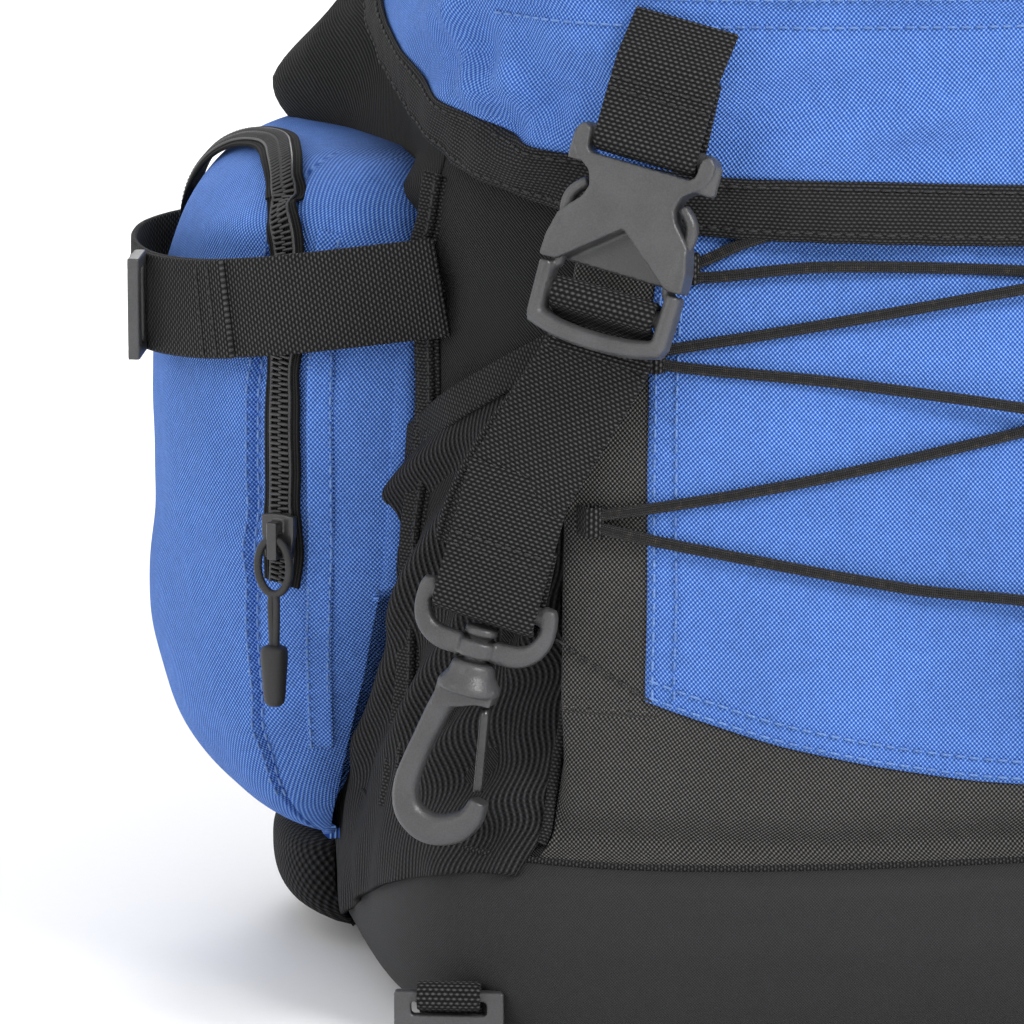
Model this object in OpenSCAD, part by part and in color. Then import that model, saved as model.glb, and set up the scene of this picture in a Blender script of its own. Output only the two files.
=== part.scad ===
/* [Body] */
// Half of the packed body's greatest width
body_half_w = 156; // [150:1:160]
// Reach of the packed base in front of the origin
body_front = 112; // [108:1:114]
// Reach of the back panel behind the origin
body_back = 98; // [94:1:102]
// Height of the open mouth under the lid
mouth_z = 335; // [330:1:338]
// Thickness of the main fabric with its lining
cloth = 2.4; // [2:0.1:3]

/* [Lid] */
// Height of the lid's top above the floor
lid_top = 392; // [390:1:400]
// Height of the lid's front hem
hem_z = 196; // [194:1:198]
// Width of the black hem binding
hem_w = 14.5; // [10:0.5:15]

/* [Webbing] */
// Width of the lid and tail webbing
web_w = 25; // [24:0.5:26]
// Thickness of the webbing
web_t = 1.6; // [1.4:0.1:1.8]
// Diameter of the shock cord
cord_d = 2.7; // [2.5:0.1:3]

/* [Buckle] */
// Overall width of the side-release buckle
buckle_w = 35; // [34:0.5:37]
// Thickness of the side-release buckle
buckle_t = 8.5; // [8:0.1:9]

/* [Snap hook] */
// Diameter of the swivel post
post_d = 5; // [4.6:0.1:5.4]
// Radial running clearance of the swivel post
post_gap = 0.08; // [0.05:0.01:0.1]
// Outer radius of the hook's bend
hook_r = 12; // [11.5:0.5:12.5]
// Thickness of the hook's body
hook_t = 7; // [6.5:0.5:7.5]

/* [Side pockets] */
// Height of the pocket's foot
pocket_low = 33; // [30:1:36]
// Height of the pocket's domed top
pocket_high = 206; // [203:1:208]

/* [Hidden] */
$fn = 48;
gap = 0.6;

// ---- shared shape functions ----
// Angles on the body are measured from straight ahead (-Y), positive toward +X.
wide = [[0, .93], [6, .975], [14, .998], [40, 1], [80, .965], [160, .94], [200, .925],
    [220, .9], [250, .86], [280, .8], [310, .715], [340, .6]];
fore = [[0, .8], [6, .9], [14, .955], [30, 1], [46, 1], [54, .9], [90, .875], [200, .85],
    [250, .8], [280, .73], [310, .61], [340, .46]];
aft = [[0, .88], [10, .96], [40, 1], [250, 1], [300, .96], [340, .86]];
blunt = [[0, 3.6], [40, 3.4], [90, 3], [340, 2.6]];

function mix(a, b, u) = a + (b - a) * u;
function polar(ang, a, f, n) =
    let (s = abs(sin(ang)), c = abs(cos(ang)), r = pow(pow(s / a, n) + pow(c / f, n), -1 / n))
    [r * sin(ang), -r * cos(ang)];
function bulge(y, z) = 20 * exp(-pow((y - 70) / 22, 2) - pow((z - 212) / 20, 2));
// A point of the packed body's surface, moved outward by o.
function body_pt(ang, z, o = 0) =
    let (a = body_half_w * lookup(z, wide) + o, front = cos(ang) > 0,
         f = (front ? body_front * lookup(z, fore) : body_back * lookup(z, aft)) + o,
         p = polar(ang, a, f, front ? lookup(z, blunt) : 4.5))
    [p.x + sign(p.x) * bulge(p.y, z), p.y, z];
// A point of the front pocket's outer surface.
pouch = [[50, .955], [62, .985], [90, 1], [150, 1], [182, .985], [194, .965], [214, .92]];
function pouch_pt(ang, z, o = 0) =
    let (g = lookup(z, pouch), p = polar(ang, 150 * g + o, 110 * g + o, 3.3)) [p.x, p.y, z];
// A point of the lid's outer surface.
lid_wide = [[190, .955], [220, .985], [235, 1], [250, .99], [270, .96], [290, .915],
    [310, .86], [335, .77], [360, .63], [378, .47], [388, .32], [392, .2]];
lid_fore = [[190, .97], [215, .985], [250, 1], [280, .975], [310, .89], [335, .77],
    [360, .58], [378, .39], [388, .23], [392, .12]];
lid_aft = [[190, .98], [330, .98], [350, .94], [370, .82], [384, .63], [392, .4]];
function lid_pt(ang, z, o = 0) =
    let (zz = 392 * z / lid_top, a = 146 * lookup(zz, lid_wide) + o, front = cos(ang) > 0,
         f = (front ? 113 * lookup(zz, lid_fore) : 100 * lookup(zz, lid_aft)) + o,
         p = polar(ang, max(a, 4), max(f, 4), front ? 3 : 4.5)) [p.x, p.y, z];
// Height of the lid's lower edge round the body, from the front to the back.
hem_line = [[0, 0], [40, 3], [55, 7], [65, 11], [80, 18], [95, 28], [108, 42], [117, 66],
    [126, 96], [134, 122], [140, 130], [180, 130]];
function hem_height(ang) = hem_z + lookup(abs(ang), hem_line);

// Closed patch between an outer and an inner grid of points, fo(u, v) and fi(u, v).
module panel(fo, fi, nu, nv) {
    w = nu + 1;
    k = w * (nv + 1);
    pts = concat([for (j = [0:nv], i = [0:nu]) fo(i / nu, j / nv)],
        [for (j = [0:nv], i = [0:nu]) fi(i / nu, j / nv)]);
    faces = concat(
        [for (j = [0:nv - 1], i = [0:nu - 1]) let (p = j * w + i)
            each [[p, p + w, p + 1], [p + 1, p + w, p + w + 1]]],
        [for (j = [0:nv - 1], i = [0:nu - 1]) let (p = k + j * w + i)
            each [[p, p + 1, p + w], [p + 1, p + w + 1, p + w]]],
        [for (i = [0:nu - 1]) each [[i, i + 1, k + i], [i + 1, k + i + 1, k + i]]],
        [for (i = [0:nu - 1]) let (p = nv * w + i)
            each [[p, k + p, p + 1], [p + 1, k + p, k + p + 1]]],
        [for (j = [0:nv - 1]) let (p = j * w) each [[p, k + p, p + w], [p + w, k + p, k + p + w]]],
        [for (j = [0:nv - 1]) let (p = j * w + nu)
            each [[p, p + w, k + p], [p + w, k + p + w, k + p]]]);
    polyhedron(pts, faces);
}
// Closed band right round the body; with cap = true its far end is closed as well.
module band(fo, fi, nu, nv, cap = false) {
    k = nu * (nv + 1);
    pts = concat([for (j = [0:nv], i = [0:nu - 1]) fo(i / nu, j / nv)],
        [for (j = [0:nv], i = [0:nu - 1]) fi(i / nu, j / nv)]);
    function at(i, j) = j * nu + i % nu;
    far = nv * nu;
    faces = concat(
        [for (j = [0:nv - 1], i = [0:nu - 1])
            each [[at(i, j), at(i, j + 1), at(i + 1, j)],
                [at(i + 1, j), at(i, j + 1), at(i + 1, j + 1)]]],
        [for (j = [0:nv - 1], i = [0:nu - 1])
            each [[k + at(i, j), k + at(i + 1, j), k + at(i, j + 1)],
                [k + at(i + 1, j), k + at(i + 1, j + 1), k + at(i, j + 1)]]],
        [for (i = [0:nu - 1]) each [[at(i, 0), at(i + 1, 0), k + at(i, 0)],
            [at(i + 1, 0), k + at(i + 1, 0), k + at(i, 0)]]],
        cap ? [[for (i = [nu - 1:-1:0]) far + i], [for (i = [0:nu - 1]) k + far + i]]
            : [for (i = [0:nu - 1]) each [[far + i, k + far + i, far + (i + 1) % nu],
                [far + (i + 1) % nu, k + far + i, k + far + (i + 1) % nu]]]);
    polyhedron(pts, faces);
}
// Closed solid through a list of equal rings.
module loft(rings) {
    n = len(rings[0]);
    m = len(rings);
    polyhedron([for (r = rings) each r], concat(
        [[for (i = [0:n - 1]) i]], [[for (i = [n - 1:-1:0]) (m - 1) * n + i]],
        [for (j = [0:m - 2], i = [0:n - 1]) let (p = j * n, q = (i + 1) % n)
            each [[p + i, p + n + i, p + q], [p + q, p + n + i, p + n + q]]]));
}
function unit(v) = v / norm(v);
// Smooth point at place u (0 to 1) of a list of points.
function smooth_pt(pts, u) =
    let (n = len(pts) - 1, k = min(floor(u * n), n - 1), t = u * n - k,
         a = pts[max(k - 1, 0)], b = pts[k], c = pts[k + 1], d = pts[min(k + 2, n)])
    b + t * (c - a) / 2 + t * t * (a - 2.5 * b + 2 * c - d / 2)
        + t * t * t * (1.5 * (b - c) + (d - a) / 2);
function smooth(pts, steps) = [for (i = [0:steps]) smooth_pt(pts, i / steps)];
function along(pts, i) = unit(pts[min(i + 1, len(pts) - 1)] - pts[max(i - 1, 0)]);
// Flat webbing along a route; face(p) is the outward direction at a point.
module ribbon(pts, w, t, face) {
    loft([for (i = [0:len(pts) - 1])
        let (p = pts[i], d = along(pts, i), n = unit(face(p) - (face(p) * d) * d), s = cross(d, n))
        [p - s * w / 2, p - s * w / 2 + n * t, p + s * w / 2 + n * t, p + s * w / 2]]);
}
// Round cord along a route.
module tube(pts, d, sides = 8) {
    loft([for (i = [0:len(pts) - 1])
        let (p = pts[i], t = along(pts, i), n = unit(cross(t, [0.1, 0.95, 0.3])), s = cross(t, n))
        [for (k = [0:sides - 1]) p + d / 2 * (cos(360 * k / sides) * n + sin(360 * k / sides) * s)]]);
}
// Strip of constant thickness along a flat route, made as an exact prism.
module strip2d(pts, t) {
    n = len(pts) - 1;
    function nrm(i) = let (a = i > 0 ? unit(pts[i] - pts[i - 1]) : unit(pts[1] - pts[0]),
        b = i < n ? unit(pts[i + 1] - pts[i]) : a, m = unit(a + b)) [-m.y, m.x] / (m * a);
    polygon(concat([for (i = [0:n]) pts[i] + nrm(i) * t / 2],
        [for (i = [n:-1:0]) pts[i] - nrm(i) * t / 2]));
}
// Flat webbing across X, w wide, whose route is given as [y, z] points.
module belt(pts, w, t) {
    rotate([90, 0, 90]) translate([0, 0, -w / 2]) linear_extrude(w) strip2d(pts, t);
}
function turn(c, r, a0, a1, steps) =
    [for (i = [0:steps]) let (a = mix(a0, a1, i / steps)) c + r * [cos(a), sin(a)]];
// Plate in the X-Z plane, t thick, centred on Y.
module plate(t) {
    rotate([90, 0, 0]) translate([0, 0, -t / 2]) linear_extrude(t) children();
}
module right_side() {
    mirror([1, 0, 0]) children();
}

// ---- main body ----
seam_ang = 74;
back_ang = 128;
split = 0.25;
base_z = 2;
low_z = 48;
module body_panel(a0, a1, z0, z1, o, t, nu, nv) {
    panel(function (u, v) body_pt(mix(a0, a1, u), mix(z0, z1, v), o + t),
        function (u, v) body_pt(mix(a0, a1, u), mix(z0, z1, v), o), nu, nv);
}
module front_panel() {
    function row(v) = mix(low_z + gap, 304, pow(v, 1.5));
    color("#26272a") panel(function (u, v) body_pt(mix(-seam_ang, seam_ang, u), row(v)),
        function (u, v) body_pt(mix(-seam_ang, seam_ang, u), row(v), -cloth), 18, 14);
}
module side_panel() {
    color("#1f2023")
        body_panel(-back_ang + split, -seam_ang - split, low_z + gap, 304, -cloth, cloth, 12, 18);
}
module side_panel_left() {
    side_panel();
}
module side_panel_right() {
    right_side() side_panel();
}
module back_panel() {
    color("#1b1c1e") body_panel(back_ang, 360 - back_ang, low_z + gap, 304, -cloth, cloth, 10, 10);
}
module bottom_panel() {
    foot = 0.93;
    function shell_pt(u, v, t) =
        v < 0.75 ? body_pt(-360 * u, mix(low_z, base_z + 0.5, v / 0.75), -t)
        : let (p = body_pt(-360 * u, base_z, -t), q = mix(1, 0.3, (v - 0.75) / 0.25))
            [p.x * q * foot, p.y * q * foot, base_z + t];
    color("#1d1e20") band(function (u, v) shell_pt(u, v, 0),
        function (u, v) shell_pt(u, v, cloth), 40, 8, true);
}
module base_patch() {
    color("#17181a") linear_extrude(base_z - 0.2)
        polygon([for (i = [0:39]) polar(9 * i, body_half_w * 0.76, body_front * 0.7, 3.4)]);
}
module collar() {
    color("#2a2c30") band(
        function (u, v) body_pt(360 * u, mix(304 + gap, mouth_z, v), -1 - 10 * v * v),
        function (u, v) body_pt(360 * u, mix(304 + gap, mouth_z, v), -2.6 - 10 * v * v), 40, 3);
}
module frame_sheet() {
    color("#e8e8e4") body_panel(146, 214, 54, 296, -5, 1.5, 8, 8);
}
module frame_stay() {
    color("silver") translate([-12, body_back * 0.96 - 11.5, 56]) cube([24, 3, 236]);
}
module back_pads() {
    color("#2b2d30") {
        for (m = [0, 1]) mirror([m, 0, 0]) body_panel(143, 171, 84, 274, gap, 11, 6, 10);
        body_panel(146, 214, 22, 44, gap, 11, 10, 4);
        body_panel(146, 214, 52, 78, gap, 13, 10, 4);
    }
}

// ---- front pocket ----
blue_ang = 45.3;
pouch_ang = 54.7;
pouch_low = 53;
pouch_high = 213;
function blue_low(ang) = 68 + 22 * pow(abs(ang) / blue_ang, 2);
module pouch_part(a0, a1, zl, zh, nu, nv) {
    panel(function (u, v) let (a = mix(a0, a1, u), z = mix(zl(a), zh(a), v),
            p = pouch_pt(a, z), q = body_pt(a, z, gap + 1)) norm(p) > norm(q) ? p : q,
        function (u, v) let (a = mix(a0, a1, u)) body_pt(a, mix(zl(a), zh(a), v), gap), nu, nv);
}
module front_pocket() {
    color("#3f6fd6") pouch_part(-blue_ang, blue_ang, function (a) blue_low(a),
        function (a) pouch_high, 16, 10);
}
module front_gusset() {
    color("#4b4c4f") {
        for (s = [-1, 1])
            pouch_part(min(s * pouch_ang, s * (blue_ang + split)),
                max(s * pouch_ang, s * (blue_ang + split)),
                function (a) blue_low(blue_ang) + 0.5, function (a) pouch_high, 3, 10);
        pouch_part(-pouch_ang, pouch_ang, function (a) pouch_low,
            function (a) min(blue_low(min(abs(a), blue_ang)), blue_low(a)) - 0.5, 20, 3);
    }
}

// ---- stretch side panels at the lower corners ----
// The top edge falls from the strap at the front corner to the side pocket.
function stretch_top(ang) = 172 - 52 * (abs(ang) - 56) / 34;
module stretch_side() {
    color("#222326") panel(
        function (u, v) let (a = mix(-92, -56, u)) body_pt(a, mix(low_z + 2, stretch_top(a), v), 3.6),
        function (u, v) let (a = mix(-92, -56, u)) body_pt(a, mix(low_z + 2, stretch_top(a), v), gap),
        8, 8);
}
module stretch_side_left() {
    stretch_side();
}
module stretch_side_right() {
    right_side() stretch_side();
}

// ---- side pockets ----
// Plan of a pocket from its front root round to its back root.
pocket_plan = [[-149, -34], [-164, -30], [-179, -17], [-191, 0], [-198, 22], [-199, 44],
    [-193, 66], [-176, 84], [-150, 88]];
pocket_mid = (pocket_low + pocket_high) / 2;
pocket_half = (pocket_high - pocket_low) / 2;
function pocket_swell(z) = pow(max(1 - pow(abs(z - pocket_mid) / pocket_half, 3.6), 0.0001), 1 / 3.6);
function body_x(y, z, o) =
    let (a = body_half_w * lookup(z, wide) + o, n = y < 0 ? lookup(z, blunt) : 4.5,
         f = (y < 0 ? body_front * lookup(z, fore) : body_back * lookup(z, aft)) + o)
    -a * pow(max(1 - pow(abs(y) / f, n), 0), 1 / n) - bulge(y, z);
over_side = 4.4;
function pocket_pt(u, z, o = 0) =
    let (k = pocket_swell(z), p = smooth_pt(pocket_plan, u), c = [-150, 27],
         q = c + (p - c) * mix(0.55, 1, k), n = unit(p - c),
         x = mix(-151 - gap, q.x, k) + n.x * o)
    [min(x, body_x(q.y, z, over_side + gap)), q.y + n.y * o, z];
function pocket_z(v) = pocket_mid - (pocket_half - 0.4) * cos(180 * v);
module side_pocket() {
    color("#3f6fd6") panel(function (u, v) pocket_pt(1 - u, pocket_z(v)),
        function (u, v) let (z = pocket_z(v), p = pocket_pt(1 - u, z))
            [body_x(p.y, z, over_side), mix(p.y, 27, 0.02), z], 20, 16);
}
module side_pocket_left() {
    side_pocket();
}
module side_pocket_right() {
    right_side() side_pocket();
}
// Zip chain on the pocket's gusset: up the front, over the top and down the back.
zip_route = [for (q = [[.21, 104], [.21, 125], [.21, 150], [.21, 172], [.24, 188], [.31, 199],
    [.42, 203.2], [.55, 203.4], [.67, 200], [.75, 190], [.79, 172], [.79, 150], [.79, 120]])
    pocket_pt(q[0], q[1], 2.2)];
pocket_out = function (p) unit([p.x + 150, p.y - 27, (p.z - 120) * max(abs(p.z - 120) - 60, 0) / 18]);
module side_zip() {
    color("#141516") ribbon(smooth(zip_route, 40), 7, 1, pocket_out);
}
module side_zip_left() {
    side_zip();
}
module side_zip_right() {
    right_side() side_zip();
}
// Slider and pull near the lower end of the front stretch, facing the pocket's front.
slide_yaw = -38;
slide_at = pocket_pt(.21, 116, 3.6);
module at_slider() {
    translate(slide_at) rotate([0, 0, slide_yaw]) children();
}
module zip_slider() {
    color("#1a1b1c") at_slider() difference() {
        union() {
            translate([-4.5, -3, -5]) cube([9, 2.6, 11]);
            translate([-1.8, -6, -5]) cube([3.6, 3.2, 9]);
        }
        translate([-3, -4.5, -0.6]) rotate([0, 90, 0]) cylinder(h = 6, d = 2.4);
    }
}
module zip_pull() {
    color("#1a1b1c") at_slider() {
        translate([0, -4.5, -0.6]) {
            rotate([0, 90, 0]) cylinder(h = 7.2, d = 2, center = true);
            for (x = [-3.9, 3.9]) translate([x - 1, -1, -12]) cube([2, 2, 12.6]);
            translate([-4.9, -1, -14]) cube([9.8, 2, 2]);
            translate([-0.9, -1.1, -26]) cube([1.8, 2, 12.2]);
            translate([0, 0, -41]) cylinder(h = 15, d1 = 7, d2 = 5);
        }
    }
}
module zip_slider_left() {
    zip_slider();
}
module zip_slider_right() {
    right_side() zip_slider();
}
module zip_pull_left() {
    zip_pull();
}
module zip_pull_right() {
    right_side() zip_pull();
}
// Strap over the pocket, from the bound front seam round to the back seam.
strap_route = [[-141, -48, 180], [-152, -42, 178], [-167, -33, 175], [-181, -22, 172],
    [-193, -4, 169], [-201, 20, 167], [-202.5, 44, 167], [-196, 68, 167], [-180, 86, 167],
    [-156, 92, 167], [-140, 92, 167]];
module compression_strap() {
    color("#202124") {
        ribbon(smooth(strap_route, 30), 24, web_t, function (p) unit([p.x + 140, p.y - 27, 0]));
        translate([-203, 12, 155]) rotate([0, 0, -14]) difference() {
            translate([-4.2, -9, 0]) cube([3.6, 14, 25]);
            translate([-5, -6, 3]) cube([6, 3, 19]);
            translate([-5, 0, 3]) cube([6, 3, 19]);
        }
    }
}
module compression_strap_left() {
    compression_strap();
}
module compression_strap_right() {
    right_side() compression_strap();
}

// ---- buckles, tails and snap hooks (drawn on the left) ----
buckle_at = [-109.5, -110.5, 199.5];
buckle_turn = [-12, 12.5, -30];
// Turns a vector about X, then Y, then Z, as rotate() does.
function turned(v, r) =
    let (a = [v.x, v.y * cos(r.x) - v.z * sin(r.x), v.y * sin(r.x) + v.z * cos(r.x)],
         b = [a.x * cos(r.y) + a.z * sin(r.y), a.y, -a.x * sin(r.y) + a.z * cos(r.y)])
    [b.x * cos(r.z) - b.y * sin(r.z), b.x * sin(r.z) + b.y * cos(r.z), b.z];
module at_buckle() {
    translate(buckle_at) rotate(buckle_turn) children();
}
web_slot = 27;
arm_x = 12.4;
bar_r = 2;
// Heights of the webbing bars in the buckle's own frame.
top_bar = 23.2;
low_bar = -14;
module buckle_female() {
    color("#2c2d2f") at_buckle() {
        difference() {
            plate(buckle_t) polygon([[-14, 20], [-17, 20], [-13.4, 10], [-17.5, -4], [-17.5, -7],
                [17.5, -7], [17.5, -4], [13.4, 10], [17, 20], [14, 20], [14, 17], [-14, 17]]);
            translate([-15.4, -2.6, -8]) cube([30.8, 5.2, 19]);
            translate([-8, -5, -8]) cube([16, 4, 10]);
            for (s = [-1, 1]) translate([s * 16.4 - 3, -2.6, -2]) cube([6, 5.2, 13]);
        }
        for (s = [-1, 1]) translate([s * 15.5 - 1.7, -2.5, 17]) cube([3.4, 5, top_bar - 15]);
        translate([-17, 0, top_bar]) rotate([0, 90, 0]) cylinder(h = 34, r = bar_r);
    }
}
module buckle_male() {
    color("#2c2d2f") at_buckle() {
        difference() {
            translate([-buckle_w / 2, -buckle_t / 2, -24.6]) cube([buckle_w, buckle_t, 17.1]);
            translate([-web_slot / 2, -5, -20.4]) cube([web_slot, 10, 11.6]);
        }
        translate([-14.5, 0, low_bar]) rotate([0, 90, 0]) cylinder(h = 29, r = bar_r);
        for (s = [-1, 1]) translate([s * arm_x - 2.2, -2, -8]) cube([4.4, 4, 17]);
        translate([-2, -2, -8]) cube([4, 4, 13]);
    }
}
module buckle_female_left() {
    buckle_female();
}
module buckle_female_right() {
    right_side() buckle_female();
}
module buckle_male_left() {
    buckle_male();
}
module buckle_male_right() {
    right_side() buckle_male();
}
// The tail wraps the male half's bar, passes behind its lower rim, hangs down leaning
// outward, then turns straighter and ends in a stitched loop.
wrap_r = bar_r + web_t / 2 + 0.2;
rim_pass = [6.3, low_bar - 11];
tail_turn = [6, 32, -27];
tail_run = 39.5;
end_turn = [5, 15, -25];
end_run = 30;
hook_turn = [-5, 12.5, -25];
tail_at = buckle_at + turned([0, rim_pass.x, rim_pass.y], buckle_turn);
end_at = tail_at + turned([0, 0, -tail_run], tail_turn);
loop_at = end_at + turned([0, 0, -end_run], end_turn);
ring_r = 2.2;
module tail_strap() {
    color("#1e1f22") {
        at_buckle() belt(concat([[5.6, low_bar - 1], [4.4, low_bar + 1]],
            turn([0, low_bar], wrap_r, 45, 230, 9), [[5.5, low_bar - 5.6], rim_pass,
            rim_pass - [0, 2]]), web_w, web_t);
        translate(tail_at) rotate(tail_turn) translate([0, 0, -tail_run / 2 - 0.5])
            cube([web_w, web_t, tail_run + 4], center = true);
        translate(end_at) rotate(end_turn) belt(concat([[-0.1, 3], [-0.4, -4], [-2.8, 8 - end_run]],
            turn([0, -end_run], ring_r + 1.9, 180, 360, 10),
            [[3.4, 6 - end_run], [1.9, 16 - end_run]]), web_w, web_t);
    }
}
module tail_strap_left() {
    tail_strap();
}
module tail_strap_right() {
    right_side() tail_strap();
}
// Swivel loop: a bar through the tail's end loop, closed by a bow with a bored boss below.
boss_z = -12;
module at_loop() {
    translate(loop_at) rotate(hook_turn) children();
}
module swivel_loop() {
    color("#3a3b3d") at_loop() difference() {
        union() {
            translate([-15, 0, 0]) rotate([0, 90, 0]) cylinder(h = 30, r = ring_r);
            plate(4.6) polygon([[-16.5, 3.6], [-13.4, 3.6], [-13.2, -5.6], [-10, -8], [10, -8],
                [13.2, -5.6], [13.4, 3.6], [16.5, 3.6], [16.4, -5.6], [11, -12.6], [-11, -12.6],
                [-16.4, -5.6]]);
            translate([0, 0, boss_z - 1]) cylinder(h = 4, d = 10);
        }
        translate([0, 0, boss_z - 3]) cylinder(h = 12, d = post_d + 2 * post_gap);
    }
}
module swivel_loop_left() {
    swivel_loop();
}
module swivel_loop_right() {
    right_side() swivel_loop();
}
// Snap hook hanging on its post.
hook_z = boss_z - 1.4;
hook_len = 46.5;
nose_z = -32;
gate_top = -11;
// Outline of a bend and a neck, big and small in radius, joined by their tangents.
module teardrop(big, small, low, high) {
    lean = asin((big - small) / (high - low));
    translate([0, low]) circle(r = big);
    translate([0, high]) circle(r = small);
    polygon([[big * cos(lean), low + big * sin(lean)], [small * cos(lean), high + small * sin(lean)],
        [-small * cos(lean), high + small * sin(lean)], [-big * cos(lean), low + big * sin(lean)]]);
}
module snap_hook() {
    color("#343537") at_loop() translate([0, 0, hook_z]) {
        translate([0, 0, -2]) cylinder(h = 8.5, d = post_d);
        translate([0, 0, 5.6]) cylinder(h = 2, d = 8);
        translate([0, 0, -8]) cylinder(h = 7, d = 11);
        plate(hook_t) difference() {
            teardrop(hook_r, 6.8, hook_r - hook_len, -10);
            teardrop(hook_r - 5.6, 3, hook_r - hook_len + 0.3, -14);
            polygon([[3.2, gate_top + 0.6], [3.2, nose_z], [14, nose_z], [14, gate_top + 0.6]]);
        }
    }
}
module snap_hook_left() {
    snap_hook();
}
module snap_hook_right() {
    right_side() snap_hook();
}
// Sprung gate from the hook's neck to its nose.
module hook_gate() {
    color("#232426") at_loop() translate([0, 0, hook_z]) plate(4)
        polygon([[3.8, gate_top], [6.6, gate_top], [9.4, nose_z + 1.1], [6.6, nose_z + 1.1]]);
}
module hook_gate_left() {
    hook_gate();
}
module hook_gate_right() {
    right_side() hook_gate();
}
// Sewn-down straps from the buckles' inner side to the lower body corners.
anchor_route = [[-119, -97, 172], [-127, -88, 160], [-135, -76, 146], [-141, -66, 132], [-144, -60, 120]];
module anchor_straps() {
    color("#1b1c1e") for (m = [0, 1]) mirror([m, 0, 0])
        ribbon(smooth(anchor_route, 10), 22, web_t, function (p) unit([-1, -1.3, 0.3]));
}

// ---- shock cord on the front pocket ----
function on_pouch(x, z, o) = let (g = lookup(z, pouch), a = 150 * g, f = 110 * g)
    [x, -f * pow(1 - pow(abs(x) / a, 3.3), 1 / 3.3) - o, z];
lift = cord_d / 2 + 0.5;
hooks = [[91.5, 192], [99.5, 171.6], [113, 132.5]];
module cord_loops() {
    color("#202124") for (s = [-1, 1], h = hooks) {
        p = on_pouch(s * (h[0] - 1), h[1], gap + 0.5);
        translate(p) rotate([0, 0, -s * (h[0] > 110 ? -48 : -33)]) difference() {
            translate([-5, -5.4, -4]) cube([10, 4.4, 8]);
            translate([s < 0 ? -3.2 : -6.8, -4.4, -5]) cube([10, 3.6, 10]);
        }
    }
}
run_a = [[-60, 192.4], [-17, 190.6], [12, 187.4], [60, 179.5]];
run_b = [[-60, 179.5], [-12, 187.4], [17, 190.6], [60, 192.4]];
run_c = [[-60, 166], [-17, 159.6], [14, 153.4], [62, 143.5]];
run_d = [[-62, 143.5], [-14, 153.4], [17, 159.6], [60, 166]];
over = lift + cord_d + 0.6;
function run(pts, o) = [for (q = pts) [q[0], q[1], abs(q[0]) < 30 ? o : lift]];
function eye(s, h, up) =
    [for (k = [-1, 0, 1]) [s * (h[0] - (k == 0 ? 0 : 3)), h[1] + up * 1.9 * k, lift + 0.5]];
function back(pts) = [for (i = [len(pts) - 1:-1:0]) pts[i]];
// Route points [x, z, height above the pocket], three steps between each two.
function laid(pts) = [for (i = [0:len(pts) - 2], k = [0:2])
    let (q = mix(pts[i], pts[i + 1], k / 3)) on_pouch(q[0], q[1], q[2])];
lock_z = 100;
lock_lift = 5.2;
foot_z = [lock_z - 34, lock_z - 10, lock_z + 10];
side_run = [[42, lock_z + 17], [80, lock_z + 24.7]];
module shock_cord() {
    color("#151515") tube(laid(concat(
        [[-2, foot_z[0], lift], [-2, foot_z[1], lock_lift], [-2, foot_z[2], lock_lift]],
        [for (q = side_run) [-q[0], q[1], lift]],
        eye(-1, hooks[2], 1), run(run_d, lift), eye(1, hooks[1], 1), back(run(run_a, lift)),
        eye(-1, hooks[0], 1), [for (x = [-70:35:70]) [x, 200, lift]],
        eye(1, hooks[0], -1), back(run(run_b, over)),
        eye(-1, hooks[1], -1), run(run_c, over), eye(1, hooks[2], -1),
        [for (q = back(side_run)) [q[0], q[1], lift]],
        [[2, foot_z[2], lock_lift], [2, foot_z[1], lock_lift], [2, foot_z[0], lift]])), cord_d);
}
// Cord lock: a barrel with a cross hole for both cord ends and a sprung button at one end.
lock_y = on_pouch(0, lock_z, lock_lift).y;
stem_d = 6;
module cord_lock_body() {
    color("#1a1b1c") difference() {
        translate([-8, lock_y - 4.4, lock_z - 6]) cube([20, 8.8, 12]);
        translate([-4.2, lock_y - 1.8, lock_z - 7]) cube([8.4, 3.6, 14]);
        translate([3.8, lock_y, lock_z]) rotate([0, 90, 0]) cylinder(h = 9, d = stem_d + 0.16);
    }
}
module cord_lock_button() {
    color("#1a1b1c") translate([8.2, lock_y, lock_z]) rotate([0, 90, 0]) {
        cylinder(h = 8.8, d = stem_d);
        translate([0, 0, 8.2]) cylinder(h = 3.4, d = 9);
    }
}

// ---- lash straps under the base ----
lash_x = 143;
lash_y = -74;
module lash_straps() {
    color("#1d1e20") for (m = [0, 1]) mirror([m, 0, 0])
        translate([-lash_x, lash_y, 0]) rotate([0, 0, -14])
            belt(concat([[40, 1], [16, 1], [4, 4], [-3.2, 10.4], [-5, 14]],
                turn([-8.6, 15.7], 3, 0, 245, 9)), 15, 1.2);
}
module lash_lock() {
    color("#202124") translate([-lash_x, lash_y, 0]) rotate([0, 0, -14])
        translate([0, -8.6, 9]) difference() {
            translate([-13, -1.4, -7]) cube([26, 2.8, 15]);
            translate([-9, -2, 2.4]) cube([18, 4, 3]);
            translate([-9, -2, -4.6]) cube([18, 4, 3]);
        }
}
module lash_lock_left() {
    lash_lock();
}
module lash_lock_right() {
    right_side() lash_lock();
}

// ---- shoulder harness ----
shoulder_route = [[-54, 102, 284], [-56, 117, 287], [-62, 128, 275], [-70, 132, 250],
    [-80, 132, 210], [-91, 130, 170], [-100, 126, 136]];
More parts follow.
